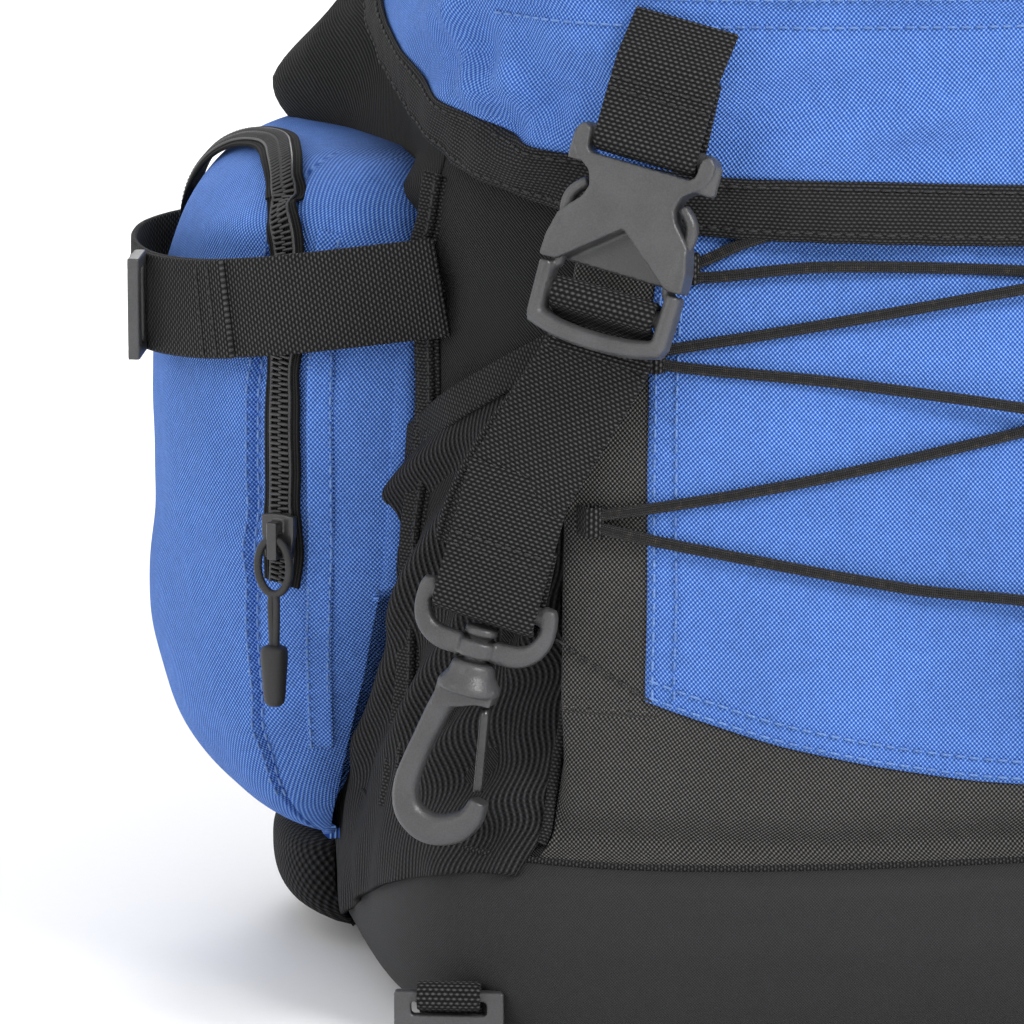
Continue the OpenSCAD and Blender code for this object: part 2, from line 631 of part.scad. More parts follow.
// Outward direction: up over the arch at the top, straight back lower down.
function strap_out(p) = [0, p.y - 108, max(p.z - 250, 0)];
module shoulder_strap() {
    color("#242528") loft([for (i = [0:18]) let (u = i / 18, p = smooth_pt(shoulder_route, u),
        d = unit(smooth_pt(shoulder_route, min(u + .03, 1)) - smooth_pt(shoulder_route, max(u - .03, 0))),
        f = strap_out(p), n = unit(f - (f * d) * d), s = cross(d, n), w = mix(58, 42, u * u), t = 9)
        [p - s * w / 2, p - s * (w / 2 - 4) + n * t, p + s * (w / 2 - 4) + n * t, p + s * w / 2]]);
}
module shoulder_strap_left() {
    shoulder_strap();
}
module shoulder_strap_right() {
    right_side() shoulder_strap();
}
strap_end = [-101.5, 131, 123.5];
module shoulder_lock() {
    color("#2a2b2d") translate(strap_end) rotate([0, -14, 0]) difference() {
        translate([-17, -1.6, -24]) cube([34, 3.4, 26]);
        translate([-13.2, -3, -5.5]) cube([26.4, 8, 4]);
        translate([-13.2, -3, -13.5]) cube([26.4, 8, 4]);
        translate([-13.2, -3, -21.5]) cube([26.4, 8, 4]);
    }
}
module shoulder_lock_left() {
    shoulder_lock();
}
module shoulder_lock_right() {
    right_side() shoulder_lock();
}
low_web = [[-107, 126, 100], [-112, 124, 84], [-117, 112, 62], [-119, 99, 50]];
module shoulder_webbing() {
    color("#1d1e20") for (m = [0, 1]) mirror([m, 0, 0])
        ribbon(smooth(low_web, 8), web_w, web_t, function (p) [0, 1, 0.2]);
}
// Sternum strap: a small buckle between the two shoulder straps.
chest_z = 236;
chest_y = 141;
module sternum_female() {
    color("#2a2b2d") {
        translate([-30, chest_y, chest_z - 7]) difference() {
            cube([22, 6, 14]);
            translate([9, 1.4, 1.4]) cube([14, 3.2, 11.2]);
        }
        translate([-74, chest_y + 2.2, chest_z - 5]) cube([44, 1.4, 10]);
    }
}
module sternum_male() {
    color("#2a2b2d") {
        translate([-7.4, chest_y, chest_z - 7]) cube([16, 6, 14]);
        translate([-20, chest_y + 1.8, chest_z - 5]) cube([12.8, 2.4, 10]);
        translate([8.6, chest_y + 2.2, chest_z - 5]) cube([65.4, 1.4, 10]);
    }
}
// Hip belt: padded wings wrapped forward along the base, with a buckle folded behind.
wing_ang = -143;
function wing_top(u) = mix(46, 30, min(2.2 * u, 1));
module hip_wing() {
    color("#242528") panel(
        function (u, v) body_pt(mix(wing_ang, -96, u), mix(6, wing_top(u), v), 15),
        function (u, v) body_pt(mix(wing_ang, -96, u), mix(6, wing_top(u), v), 2), 12, 3);
}
module hip_wing_left() {
    hip_wing();
}
module hip_wing_right() {
    right_side() hip_wing();
}
belt_z = 25;
belt_y = 113.6;
module hip_female() {
    color("#2a2b2d") {
        translate([-42, belt_y, belt_z - 17]) difference() {
            cube([34, 9, 34]);
            translate([12, 2, 3]) cube([23, 5, 28]);
        }
        translate([-72, belt_y + 3.6, belt_z - 12]) cube([30, 1.8, 24]);
    }
}
module hip_male() {
    color("#2a2b2d") {
        translate([-7.4, belt_y, belt_z - 17]) cube([26, 9, 34]);
        for (s = [-1, 1]) translate([-27, belt_y + 2.5, belt_z + s * 10.6 - 2.4]) cube([19.8, 4, 4.8]);
        translate([18.6, belt_y + 3.6, belt_z - 12]) cube([54, 1.8, 24]);
    }
}
module haul_loop() {
    color("#1d1e20") ribbon(smooth([[-13, 99.4, 306], [-15, 104, 300], [-16, 112, 288],
        [-13, 119, 268], [0, 122, 258], [13, 119, 268], [16, 112, 288], [15, 104, 300],
        [13, 99.4, 306]], 28), 14, 2.4, function (p) [0, 0.9, 0.45]);
}

// ---- lid ----
lid_steps = 48;
module lid_shell() {
    color("#3f6fd6") band(
        function (u, v) let (a = 360 * u - 180)
            lid_pt(a, mix(hem_height(a) + hem_w * 0.55, lid_top, sin(90 * v)), 0),
        function (u, v) let (a = 360 * u - 180)
            lid_pt(a, mix(hem_height(a) + hem_w * 0.55, lid_top - cloth, sin(90 * v)), -cloth),
        lid_steps, 13, true);
}
module lid_hem() {
    color("#202124") band(
        function (u, v) let (a = 360 * u - 180) lid_pt(a, hem_height(a) + hem_w * v, 1.4),
        function (u, v) let (a = 360 * u - 180) lid_pt(a, hem_height(a) + hem_w * v, 0.4),
        lid_steps, 2);
}
module lid_straps() {
    color("#1e1f22") for (m = [0, 1]) mirror([m, 0, 0]) at_buckle()
        belt(concat([[-0.5, 41], [1.6, 30]], turn([0, top_bar], wrap_r, 0, -180, 10),
            [[-3.2, 32], [-2.8, 42], [2, 53]]), web_w, web_t);
}

front_panel();
side_panel_left();
side_panel_right();
back_panel();
bottom_panel();
base_patch();
collar();
frame_sheet();
frame_stay();
back_pads();
front_pocket();
front_gusset();
stretch_side_left();
stretch_side_right();
side_pocket_left();
side_pocket_right();
side_zip_left();
side_zip_right();
zip_slider_left();
zip_slider_right();
zip_pull_left();
zip_pull_right();
compression_strap_left();
compression_strap_right();
anchor_straps();
cord_loops();
shock_cord();
cord_lock_body();
cord_lock_button();
lash_straps();
lash_lock_left();
lash_lock_right();
shoulder_strap_left();
shoulder_strap_right();
shoulder_lock_left();
shoulder_lock_right();
shoulder_webbing();
sternum_female();
sternum_male();
hip_wing_left();
hip_wing_right();
hip_female();
hip_male();
haul_loop();
lid_shell();
lid_hem();
lid_straps();
buckle_female_left();
buckle_female_right();
buckle_male_left();
buckle_male_right();
tail_strap_left();
tail_strap_right();
swivel_loop_left();
swivel_loop_right();
snap_hook_left();
snap_hook_right();
hook_gate_left();
hook_gate_right();
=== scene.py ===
import math

import bpy
import numpy as np
from mathutils import Euler, Matrix, Vector


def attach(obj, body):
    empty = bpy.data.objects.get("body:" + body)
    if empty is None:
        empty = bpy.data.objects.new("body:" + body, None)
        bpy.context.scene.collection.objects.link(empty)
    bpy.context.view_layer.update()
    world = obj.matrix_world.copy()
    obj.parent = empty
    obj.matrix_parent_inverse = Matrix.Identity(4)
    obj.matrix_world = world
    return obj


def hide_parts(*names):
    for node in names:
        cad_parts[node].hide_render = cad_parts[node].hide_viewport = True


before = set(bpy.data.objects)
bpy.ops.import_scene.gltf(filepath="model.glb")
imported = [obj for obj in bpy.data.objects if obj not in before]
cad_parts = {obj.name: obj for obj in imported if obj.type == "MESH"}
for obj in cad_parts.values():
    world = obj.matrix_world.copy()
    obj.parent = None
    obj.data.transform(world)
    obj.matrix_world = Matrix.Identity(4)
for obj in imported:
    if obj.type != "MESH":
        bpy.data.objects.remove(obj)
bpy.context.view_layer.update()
MM = 0.001

# ---- camera, light and floor ----


def place_camera():
    az, el = math.radians(-10), math.radians(12)
    back = Vector((math.sin(az) * math.cos(el), -math.cos(az) * math.cos(el), math.sin(el)))
    right = Vector((0, 0, 1)).cross(back).normalized()
    data = bpy.data.cameras.new("camera")
    data.lens, data.sensor_width = 227, 36
    data.clip_start, data.clip_end = 0.05, 30
    camera = bpy.data.objects.new("camera", data)
    bpy.context.collection.objects.link(camera)
    place = Vector((-0.1313, -0.090, 0.134)) + 1.5 * back
    turn = Matrix((right, back.cross(right), back)).transposed().to_4x4()
    camera.matrix_world = Matrix.Translation(place) @ turn
    bpy.context.scene.camera = camera


def area_light(name, place, aim, size, watts):
    data = bpy.data.lights.new(name, "AREA")
    data.shape, data.size, data.energy = "DISK", size, watts
    lamp = bpy.data.objects.new(name, data)
    bpy.context.collection.objects.link(lamp)
    lamp.location = place
    lamp.rotation_euler = (Vector(aim) - Vector(place)).to_track_quat("-Z", "Y").to_euler()


place_camera()
world = bpy.data.worlds.new("studio")
bpy.context.scene.world = world
world.use_nodes = True
world.node_tree.nodes["Background"].inputs["Color"].default_value = (1, 1, 1, 1)
world.node_tree.nodes["Background"].inputs["Strength"].default_value = 1.0
area_light("key", (1.1, -1.7, 1.7), (0, 0, 0.2), 0.7, 36)
area_light("fill", (-2.0, -0.9, 1.0), (0, 0, 0.2), 1.2, 5)
area_light("rear", (0.4, 2.2, 1.9), (0, 0, 0.2), 1.6, 26)
bpy.context.scene.view_settings.view_transform = "Standard"

# ---- materials ----


class Paint:
    """One procedural material, built node by node."""

    def __init__(self, name, rough, metallic=0.0, specular=0.5, sheen=0.0, coat=0.0):
        self.material = bpy.data.materials.new(name)
        self.material.use_nodes = True
        self.tree = self.material.node_tree
        self.shader = self.tree.nodes["Principled BSDF"]
        for key, value in (("Roughness", rough), ("Metallic", metallic), ("Specular IOR Level", specular),
                           ("Sheen Weight", sheen), ("Coat Weight", coat)):
            self.shader.inputs[key].default_value = value

    def join(self, socket, value):
        if isinstance(value, bpy.types.NodeSocket):
            self.tree.links.new(value, socket)
        else:
            socket.default_value = value

    def math(self, kind, *values):
        node = self.tree.nodes.new("ShaderNodeMath")
        node.operation = kind
        for socket, value in zip(node.inputs, values):
            self.join(socket, value)
        return node.outputs[0]

    def uv(self):
        """Place along and across the cloth, in millimetres."""
        split = self.tree.nodes.new("ShaderNodeSeparateXYZ")
        self.tree.links.new(self.tree.nodes.new("ShaderNodeUVMap").outputs[0], split.inputs[0])
        return [self.math("MULTIPLY", split.outputs[k], 1000.0) for k in (0, 1)]

    def wave(self, place, period, phase=0.0):
        return self.math("COSINE", self.math("MULTIPLY_ADD", place, 2 * math.pi / period, phase))

    def noise(self, period, detail=2.0, flat=False):
        """Noise with grains of about that many millimetres."""
        node = self.tree.nodes.new("ShaderNodeTexNoise")
        if flat:
            self.tree.links.new(self.tree.nodes.new("ShaderNodeUVMap").outputs[0], node.inputs["Vector"])
        else:
            coords = self.tree.nodes.new("ShaderNodeTexCoord")
            self.tree.links.new(coords.outputs["Object"], node.inputs["Vector"])
        node.inputs["Scale"].default_value = 1000.0 / period
        node.inputs["Detail"].default_value = detail
        return node.outputs["Fac"]

    def ramp(self, amount, stops):
        node = self.tree.nodes.new("ShaderNodeValToRGB")
        spots = node.color_ramp.elements
        while len(spots) < len(stops):
            spots.new(0.5)
        for spot, (where, colour) in zip(spots, stops):
            spot.position, spot.color = where, (*colour, 1)
        self.tree.links.new(amount, node.inputs[0])
        return node.outputs[0]

    def shade(self, colour, amount, low, high):
        """Colour scaled from low to high by amount, 0 to 1."""
        node = self.tree.nodes.new("ShaderNodeMix")
        node.data_type, node.blend_type = "RGBA", "MULTIPLY"
        node.inputs[0].default_value = 1.0
        grey = self.ramp(amount, [(0.25, (low,) * 3), (0.75, (high,) * 3)])
        self.tree.links.new(colour, node.inputs[6])
        self.tree.links.new(grey, node.inputs[7])
        return node.outputs[2]

    def finish(self, colour, height=None, depth=0.2, strength=1.0):
        self.join(self.shader.inputs["Base Color"], colour)
        if height is not None:
            bump = self.tree.nodes.new("ShaderNodeBump")
            bump.inputs["Distance"].default_value = depth * MM
            bump.inputs["Strength"].default_value = strength
            self.tree.links.new(height, bump.inputs["Height"])
            self.tree.links.new(bump.outputs[0], self.shader.inputs["Normal"])
        return self.material


def cloth_paint(name, dark, mid, light, period, kind, depth=0.22, rough=0.8, sheen=0.02, mottled=0.1):
    p = Paint(name, rough, specular=0.12, sheen=sheen)
    u, v = p.uv()
    if kind == "weave":
        lattice = p.math("MULTIPLY", p.wave(u, period * 0.9), p.wave(v, period))
    elif kind == "twill":
        slope = p.wave(p.math("ADD", u, v), period)
        lattice = p.math("MULTIPLY_ADD", p.wave(p.math("SUBTRACT", u, v), period * 0.6), 0.3,
                         p.math("MULTIPLY", slope, 0.7))
    elif kind == "rib":
        lattice = p.math("MULTIPLY_ADD", p.math("MULTIPLY", p.wave(u, period), p.wave(v, period * 0.9)),
                         0.3, p.math("MULTIPLY", p.wave(u, period), 0.7))
    elif kind == "web":
        lattice = p.math("MULTIPLY_ADD", p.wave(v, period), 0.55,
                         p.math("MULTIPLY", p.math("MULTIPLY", p.wave(u, period * 1.5), p.wave(v, period * 2)), 0.6))
    else:
        lattice = p.math("MULTIPLY_ADD", p.wave(v, period), 0.75, p.math("MULTIPLY", p.wave(u, period * 0.5), 0.25))
    fibre = p.noise(0.35, 3.0, flat=True)
    amount = p.math("MULTIPLY_ADD", lattice, 0.42, p.math("MULTIPLY_ADD", fibre, 0.5, 0.25))
    colour = p.ramp(amount, [(0.15, dark), (0.5, mid), (0.88, light)])
    colour = p.shade(colour, p.noise(42.0, 3.0), 1 - mottled, 1 + mottled)
    colour = p.shade(colour, p.noise(2.6, 2.0), 1 - mottled * 0.8, 1 + mottled * 0.8)
    height = p.math("MULTIPLY_ADD", fibre, 0.5, lattice)
    return p.finish(colour, height, depth)


def plastic_paint(name, dark, light, rough=0.5, grain=0.45, depth=0.03, specular=0.5, metallic=0.0, coat=0.0):
    p = Paint(name, rough, metallic, specular, coat=coat)
    fine = p.noise(grain, 2.0)
    worn = p.noise(9.0, 3.0)
    colour = p.ramp(p.math("MULTIPLY_ADD", fine, 0.5, p.math("MULTIPLY", worn, 0.5)), [(0.3, dark), (0.7, light)])
    p.join(p.shader.inputs["Roughness"], p.math("MULTIPLY_ADD", worn, 0.2, rough - 0.1))
    return p.finish(colour, fine, depth)


BLUE = cloth_paint("blue_cloth", (0.018, 0.065, 0.34), (0.068, 0.180, 0.58), (0.26, 0.46, 0.88), 1.2, "weave")
GREY = cloth_paint("charcoal_cloth", (0.004, 0.004, 0.004), (0.040, 0.039, 0.038), (0.17, 0.165, 0.16), 1.2, "weave")
BLACK = cloth_paint("black_twill", (0.003, 0.003, 0.003), (0.018, 0.018, 0.0185), (0.055, 0.055, 0.057), 0.95, "twill",
                    mottled=0.08)
BASE = cloth_paint("base_cloth", (0.020, 0.020, 0.021), (0.027, 0.027, 0.028), (0.038, 0.038, 0.039), 0.8, "weave",
                   depth=0.06, rough=0.62, mottled=0.06)
STRETCH = cloth_paint("stretch_cloth", (0.003, 0.003, 0.0035), (0.017, 0.017, 0.018), (0.055, 0.055, 0.058), 1.5, "rib",
                      depth=0.35)
MESH = cloth_paint("spacer_mesh", (0.002, 0.002, 0.002), (0.014, 0.014, 0.015), (0.045, 0.045, 0.047), 2.6, "weave",
                   depth=0.5)
WEB = cloth_paint("webbing_cloth", (0.0015, 0.0015, 0.0015), (0.014, 0.014, 0.0145), (0.085, 0.085, 0.087), 0.95,
                  "web", depth=0.28)
HEM = cloth_paint("grosgrain", (0.003, 0.003, 0.003), (0.018, 0.018, 0.0185), (0.062, 0.062, 0.063), 0.85, "web",
                  depth=0.2, mottled=0.08)
TAPE = cloth_paint("zip_tape_cloth", (0.002, 0.002, 0.002), (0.008, 0.008, 0.008), (0.02, 0.02, 0.02), 0.8, "rib",
                   depth=0.12)
LINING = cloth_paint("lining_cloth", (0.10, 0.10, 0.10), (0.16, 0.16, 0.165), (0.22, 0.22, 0.225), 0.8, "weave",
                     depth=0.08)
THREAD = plastic_paint("black_thread", (0.004, 0.004, 0.004), (0.03, 0.03, 0.03), 0.7, 0.3)
BLUE_THREAD = plastic_paint("blue_thread", (0.05, 0.12, 0.36), (0.16, 0.30, 0.62), 0.7, 0.3)
PLASTIC = plastic_paint("black_acetal", (0.036, 0.036, 0.0375), (0.070, 0.070, 0.073), 0.38, 0.4, 0.09, specular=0.6)
GLOSS = plastic_paint("black_zinc", (0.012, 0.012, 0.012), (0.03, 0.03, 0.03), 0.3, 0.8, 0.01, coat=0.3)
RUBBER = plastic_paint("pull_rubber", (0.012, 0.012, 0.013), (0.024, 0.024, 0.025), 0.55, 0.6, 0.03)
NYLON = plastic_paint("coil_nylon", (0.012, 0.012, 0.013), (0.045, 0.045, 0.047), 0.4, 0.8, 0.02)
SHEET = plastic_paint("frame_sheet_plastic", (0.55, 0.55, 0.53), (0.70, 0.70, 0.68), 0.5, 1.5, 0.03)
METAL = plastic_paint("stay_aluminium", (0.55, 0.55, 0.57), (0.70, 0.70, 0.72), 0.35, 0.9, 0.01, metallic=1.0)


def cord_paint():
    p = Paint("braided_cord", 0.75, specular=0.3, sheen=0.1)
    u, v = p.uv()
    braid = p.math("MULTIPLY", p.wave(p.math("ADD", u, v), 1.0), p.wave(p.math("SUBTRACT", u, v), 1.0))
    fleck = p.noise(1.6, 1.0, flat=True)
    colour = p.ramp(p.math("MULTIPLY_ADD", braid, 0.25, p.math("MULTIPLY_ADD", fleck, 1.2, -0.15)),
                    [(0.3, (0.002, 0.002, 0.002)), (0.7, (0.010, 0.0095, 0.009)), (0.92, (0.085, 0.06, 0.038))])
    return p.finish(colour, braid, 0.25)


CORD = cord_paint()

# ---- shape functions, in millimetres ----
BODY_W, BODY_F, BODY_B = 156, 112, 98
WIDE = [(0, .93), (6, .975), (14, .998), (40, 1), (80, .965), (160, .94), (200, .925), (220, .9), (250, .86),
        (280, .8), (310, .715), (340, .6)]
FORE = [(0, .8), (6, .9), (14, .955), (30, 1), (46, 1), (54, .9), (90, .875), (200, .85), (250, .8), (280, .73),
        (310, .61), (340, .46)]
AFT = [(0, .88), (10, .96), (40, 1), (250, 1), (300, .96), (340, .86)]
BLUNT = [(0, 3.6), (40, 3.4), (90, 3), (340, 2.6)]
POUCH = [(50, .955), (62, .985), (90, 1), (150, 1), (182, .985), (194, .965), (214, .92)]
LID_W = [(190, .955), (220, .985), (235, 1), (250, .99), (270, .96), (290, .915), (310, .86), (335, .77), (360, .63),
         (378, .47), (388, .32), (392, .2)]
LID_F = [(190, .97), (215, .985), (250, 1), (280, .975), (310, .89), (335, .77), (360, .58), (378, .39), (388, .23),
         (392, .12)]
LID_B = [(190, .98), (330, .98), (350, .94), (370, .82), (384, .63), (392, .4)]
HEM_LINE = {"line": [(0, 0), (40, 3), (55, 7), (65, 11), (80, 18), (95, 28), (108, 42), (117, 66), (126, 96), (134, 122),
                (140, 130), (180, 130)]}
LID_TOP, HEM_Z, HEM_W = 392, 196, 14.5
SEAM_ANG, BACK_ANG, BLUE_ANG, POUCH_ANG = 74, 128, 45.3, 54.7
POUCH_LOW, POUCH_HIGH, LOW_Z = 53, 213, 48


def prof(z, table, soft=4.0):
    zs, vs = zip(*table)
    z = np.asarray(z, float)
    return sum(np.interp(z + d * soft, zs, vs) for d in (-1, -.5, 0, .5, 1)) / 5


def polar(ang, a, f, n):
    ang = np.radians(ang)
    s, c = np.abs(np.sin(ang)), np.abs(np.cos(ang))
    r = ((s / a) ** n + (c / f) ** n) ** (-1 / n)
    return r * np.sin(ang), -r * np.cos(ang)


def wobble(p, size, seed, terms=9):
    """Smooth noise over points, from sine waves in seeded directions; mostly within -1 to 1."""
    rng = np.random.RandomState(seed)
    total = 0
    for _ in range(terms):
        d = rng.normal(size=3)
        d *= 2 * math.pi / (size * rng.uniform(.7, 1.5) * np.linalg.norm(d))
        total = total + np.sin(p @ d + rng.uniform(0, 6.28))
    return total / math.sqrt(terms)


def crease(p, route, width, height):
    """A rounded fold along a route, with a shallow valley beside it."""
    route = np.array(route, float)
    near = np.full(p.shape[:-1], 1e9)
    place = np.zeros(p.shape[:-1])
    steps = np.linalg.norm(np.diff(route, axis=0), axis=1)
    start = np.concatenate([[0], np.cumsum(steps)])
    for a, b, s0, step in zip(route[:-1], route[1:], start, steps):
        t = np.clip(((p - a) @ (b - a)) / step ** 2, 0, 1)
        d = np.linalg.norm(p - a - t[..., None] * (b - a), axis=-1)
        place = np.where(d < near, (s0 + t * step) / start[-1], place)
        near = np.minimum(near, d)
    fade = np.clip(np.minimum(place, 1 - place) * 4, 0, 1)
    return height * fade * (np.exp(-(near / width) ** 2) - .5 * np.exp(-((near - 2 * width) / width) ** 2))


def stack(x, y, z):
    return np.stack(np.broadcast_arrays(x, y, z), -1).astype(float)


def outward(ang):
    ang = np.radians(ang)
    return np.stack(np.broadcast_arrays(np.sin(ang), -np.cos(ang), 0 * ang), -1)


def both_sides(routes):
    return routes + [[(-x, y, z) for x, y, z in r] for r in routes]


BODY_FOLDS = both_sides([
    [(-140, -38, 203), (-150, -8, 196), (-152, 30, 200)], [(-138, -50, 192), (-149, -20, 178), (-152, 12, 172)],
    [(-146, -20, 214), (-151, 20, 222), (-146, 60, 236)], [(-150, 10, 240), (-146, 50, 262), (-130, 80, 280)],
    [(-143, -30, 176), (-150, -4, 150), (-152, 20, 120)]])
SIDE_FOLDS = both_sides([
    [(-112, -84, 120), (-136, -74, 84), (-150, -50, 56)], [(-122, -80, 134), (-142, -62, 96), (-154, -34, 60)],
    [(-134, -70, 146), (-148, -46, 108), (-156, -18, 66)], [(-104, -90, 92), (-126, -86, 68), (-146, -62, 50)],
    [(-140, -60, 150), (-150, -30, 126), (-155, -4, 96)], [(-150, -44, 92), (-156, -22, 70), (-157, -8, 52)]])


def body(ang, z, o=0.0):
    ang, z = np.broadcast_arrays(np.asarray(ang, float), np.asarray(z, float))
    front = np.cos(np.radians(ang)) > 0
    a = BODY_W * prof(z, WIDE) + o
    f = np.where(front, BODY_F * prof(z, FORE, 2.0), BODY_B * prof(z, AFT)) + o
    x, y = polar(ang, a, f, np.where(front, prof(z, BLUNT), 4.5))
    x = x + np.sign(x) * 20 * np.exp(-((y - 70) / 22) ** 2 - ((z - 212) / 20) ** 2)
    under = np.clip((hem_height(ang) - 6 - z) / 20, 0, 1) * np.clip((z - 185) / 30, 0, 1)
    x = x + np.sign(x) * 10 * under * np.exp(-((y - 62) / 48) ** 2)
    p = stack(x, y, z)
    calm = np.clip((z - 50) / 30, 0, 1)
    push = calm * (wobble(p, 60, 3) * 0.9 + wobble(p, 24, 4) * 0.35)
    for route in BODY_FOLDS:
        push = push + crease(p, route, 5.0, 3.2)
    return p + outward(ang) * push[..., None]


def pouch(ang, z, o=0.0):
    g = prof(z, POUCH)
    x, y = polar(ang, 150 * g + o, 110 * g + o, 3.3)
    p = stack(x, y, z)
    push = wobble(p, 55, 5) * 0.8 + wobble(p, 20, 6) * 0.25
    return p + outward(ang) * push[..., None]


def on_pouch(x, z, o):
    """Point of the pocket's front at that x and z, o outward."""
    x, z = np.asarray(x, float), np.asarray(z, float)
    g = prof(z, POUCH, 0.5)
    y = -110 * g * (1 - (np.abs(x) / (150 * g)) ** 3.3) ** (1 / 3.3) - o
    return stack(x, y, z)


LID_FOLDS = both_sides([
    [(-96, -106, 216), (-108, -100, 232), (-112, -96, 246)], [(-126, -84, 216), (-132, -76, 232), (-134, -70, 246)],
    [(-60, -113, 246), (-84, -109, 236), (-98, -104, 222)], [(-134, -66, 222), (-138, -56, 240), (-136, -50, 262)],
    [(-60, -112, 222), (-84, -108, 214), (-108, -100, 206)], [(-112, -92, 226), (-128, -76, 214), (-137, -52, 212)],
    [(-122, -84, 236), (-136, -60, 228), (-142, -30, 222)], [(-128, -80, 258), (-139, -50, 246), (-144, -10, 236)],
    [(-96, -104, 262), (-118, -92, 268), (-134, -66, 284)], [(-20, -114, 232), (-44, -113, 226), (-70, -111, 218)],
    [(-140, -30, 262), (-142, 20, 250), (-134, 66, 262)]])


def lid(ang, z, o=0.0):
    ang, z = np.broadcast_arrays(np.asarray(ang, float), np.asarray(z, float))
    front = np.cos(np.radians(ang)) > 0
    a = 146 * prof(z, LID_W, 7.0) + o
    f = np.where(front, 113 * prof(z, LID_F, 7.0), 100 * prof(z, LID_B, 7.0)) + o
    x, y = polar(ang, a, f, np.where(front, 3.0, 4.5))
    p = stack(x, y, z)
    above = z - hem_height(ang)
    calm = 0.25 + 0.75 * np.clip(above / 30, 0, 1)
    push = calm * (wobble(p, 85, 7) * 1.9 + wobble(p, 34, 8) * 0.9)
    for route in LID_FOLDS:
        push = push + crease(p, route, 4.6, 2.5)
    face = np.clip(1.6 - np.abs(ang) / 75, 0, 1)
    push = push + face * (-1.5 * np.exp(-((z - 251) / 1.6) ** 2) + 0.8 * np.exp(-((z - 255) / 3.5) ** 2))
    near_edge = np.exp(-(above / 9) ** 2)
    push = push + near_edge * 0.35 * np.sin(ang * 1.35 + 3 * wobble(p, 60, 9))
    return p + outward(ang) * push[..., None]


def hem_height(ang):
    return HEM_Z + prof(np.abs(ang), HEM_LINE["line"], 4.0)


PLAN = np.array([(-149, -34), (-164, -30), (-179, -17), (-191, 0), (-198, 22), (-199, 44), (-193, 66), (-176, 84),
                 (-150, 88)], float)
POCKET_LOW, POCKET_HIGH = 33, 206
POCKET_FOLDS = [[(-160, -30, 150), (-178, -18, 166), (-194, 6, 172)], [(-166, -28, 200), (-184, -8, 190), (-197, 24, 184)],
                [(-165, -30, 128), (-180, -15, 112), (-196, 20, 100)], [(-160, -30, 80), (-176, -20, 68), (-190, 6, 60)]]


def spline(pts, u):
    """Catmull-Rom point at place u, 0 to 1, of a list of points."""
    pts = np.array(pts, float)
    u = np.asarray(u, float)
    n = len(pts) - 1
    k = np.clip(np.floor(u * n).astype(int), 0, n - 1)
    t = (u * n - k)[..., None]
    a, b, c, d = pts[np.maximum(k - 1, 0)], pts[k], pts[k + 1], pts[np.minimum(k + 2, n)]
    return b + t * (c - a) / 2 + t ** 2 * (a - 2.5 * b + 2 * c - d / 2) + t ** 3 * (1.5 * (b - c) + (d - a) / 2)


def body_x(y, z, o):
    """X of the body's left side at that y and z."""
    front = y < 0
    a = BODY_W * prof(z, WIDE) + o
    n = np.where(front, prof(z, BLUNT), 4.5)
    f = np.where(front, BODY_F * prof(z, FORE), BODY_B * prof(z, AFT)) + o
    bulge = 20 * np.exp(-((y - 70) / 22) ** 2 - ((z - 212) / 20) ** 2)
    return -a * np.maximum(1 - (np.abs(y) / f) ** n, 0) ** (1 / n) - bulge


def pocket(u, z, o=0.0):
    u, z = np.broadcast_arrays(np.asarray(u, float), np.asarray(z, float))
    mid, half = (POCKET_LOW + POCKET_HIGH) / 2, (POCKET_HIGH - POCKET_LOW) / 2
    k = np.maximum(1 - (np.abs(z - mid) / half) ** 3.6, .0001) ** (1 / 3.6)
    c = np.array([-150., 27.])
    p = spline(PLAN, u)
    p[..., 1] += 38 * (np.maximum(112 - z, 0) / 70) ** 1.2 * np.maximum(1 - u / .45, 0) ** 1.5
    q = c + (p - c) * (.55 + .45 * k)[..., None]
    n = (p - c) / np.linalg.norm(p - c, axis=-1, keepdims=True)
    base = stack(q[..., 0], q[..., 1], z)
    push = o + k * (wobble(base, 60, 11) * 0.8 + wobble(base, 26, 12) * 0.3)
    for route in POCKET_FOLDS:
        push = push + crease(base, route, 4.5, 1.3)
    strap = np.exp(-((z - 168) / 15) ** 4)
    push = push - 1.2 * strap - 2.0 * np.exp(-((u - .272) / .007) ** 2) * np.clip(k * 4 - 2, 0, 1)
    x = (-151.6 + (q[..., 0] + 151.6) * k) + n[..., 0] * push
    y = q[..., 1] + n[..., 1] * push
    return stack(np.minimum(x, body_x(y, z, 5.0)), y, z)


# ---- mesh builders ----


def make(name, verts, faces, paint, uvs=None):
    """Object from vertices in millimetres; uvs is one pair a face corner, in millimetres."""
    mesh = bpy.data.meshes.new(name)
    mesh.from_pydata((np.asarray(verts) * MM).tolist(), [], faces)
    layer = mesh.uv_layers.new(name="UVMap")
    if uvs is not None:
        layer.data.foreach_set("uv", (np.asarray(uvs, np.float32) * MM).ravel())
    mesh.polygons.foreach_set("use_smooth", [True] * len(mesh.polygons))
    mesh.materials.append(paint)
    mesh.update()
    piece = bpy.data.objects.new(name, mesh)
    bpy.context.collection.objects.link(piece)
    return piece


def put(piece, where, finish, *nodes):
    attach(piece, where)
    if nodes:
        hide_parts(*nodes)
    return piece


def lengths(p, axis):
    step = np.linalg.norm(np.diff(p, axis=axis), axis=-1)
    total = np.cumsum(step, axis=axis)
    pad = np.zeros_like(np.take(total, [0], axis=axis))
    total = np.concatenate([pad, total], axis=axis)
    mid = np.take(total, [p.shape[axis] // 2], axis=axis)
    return total - mid


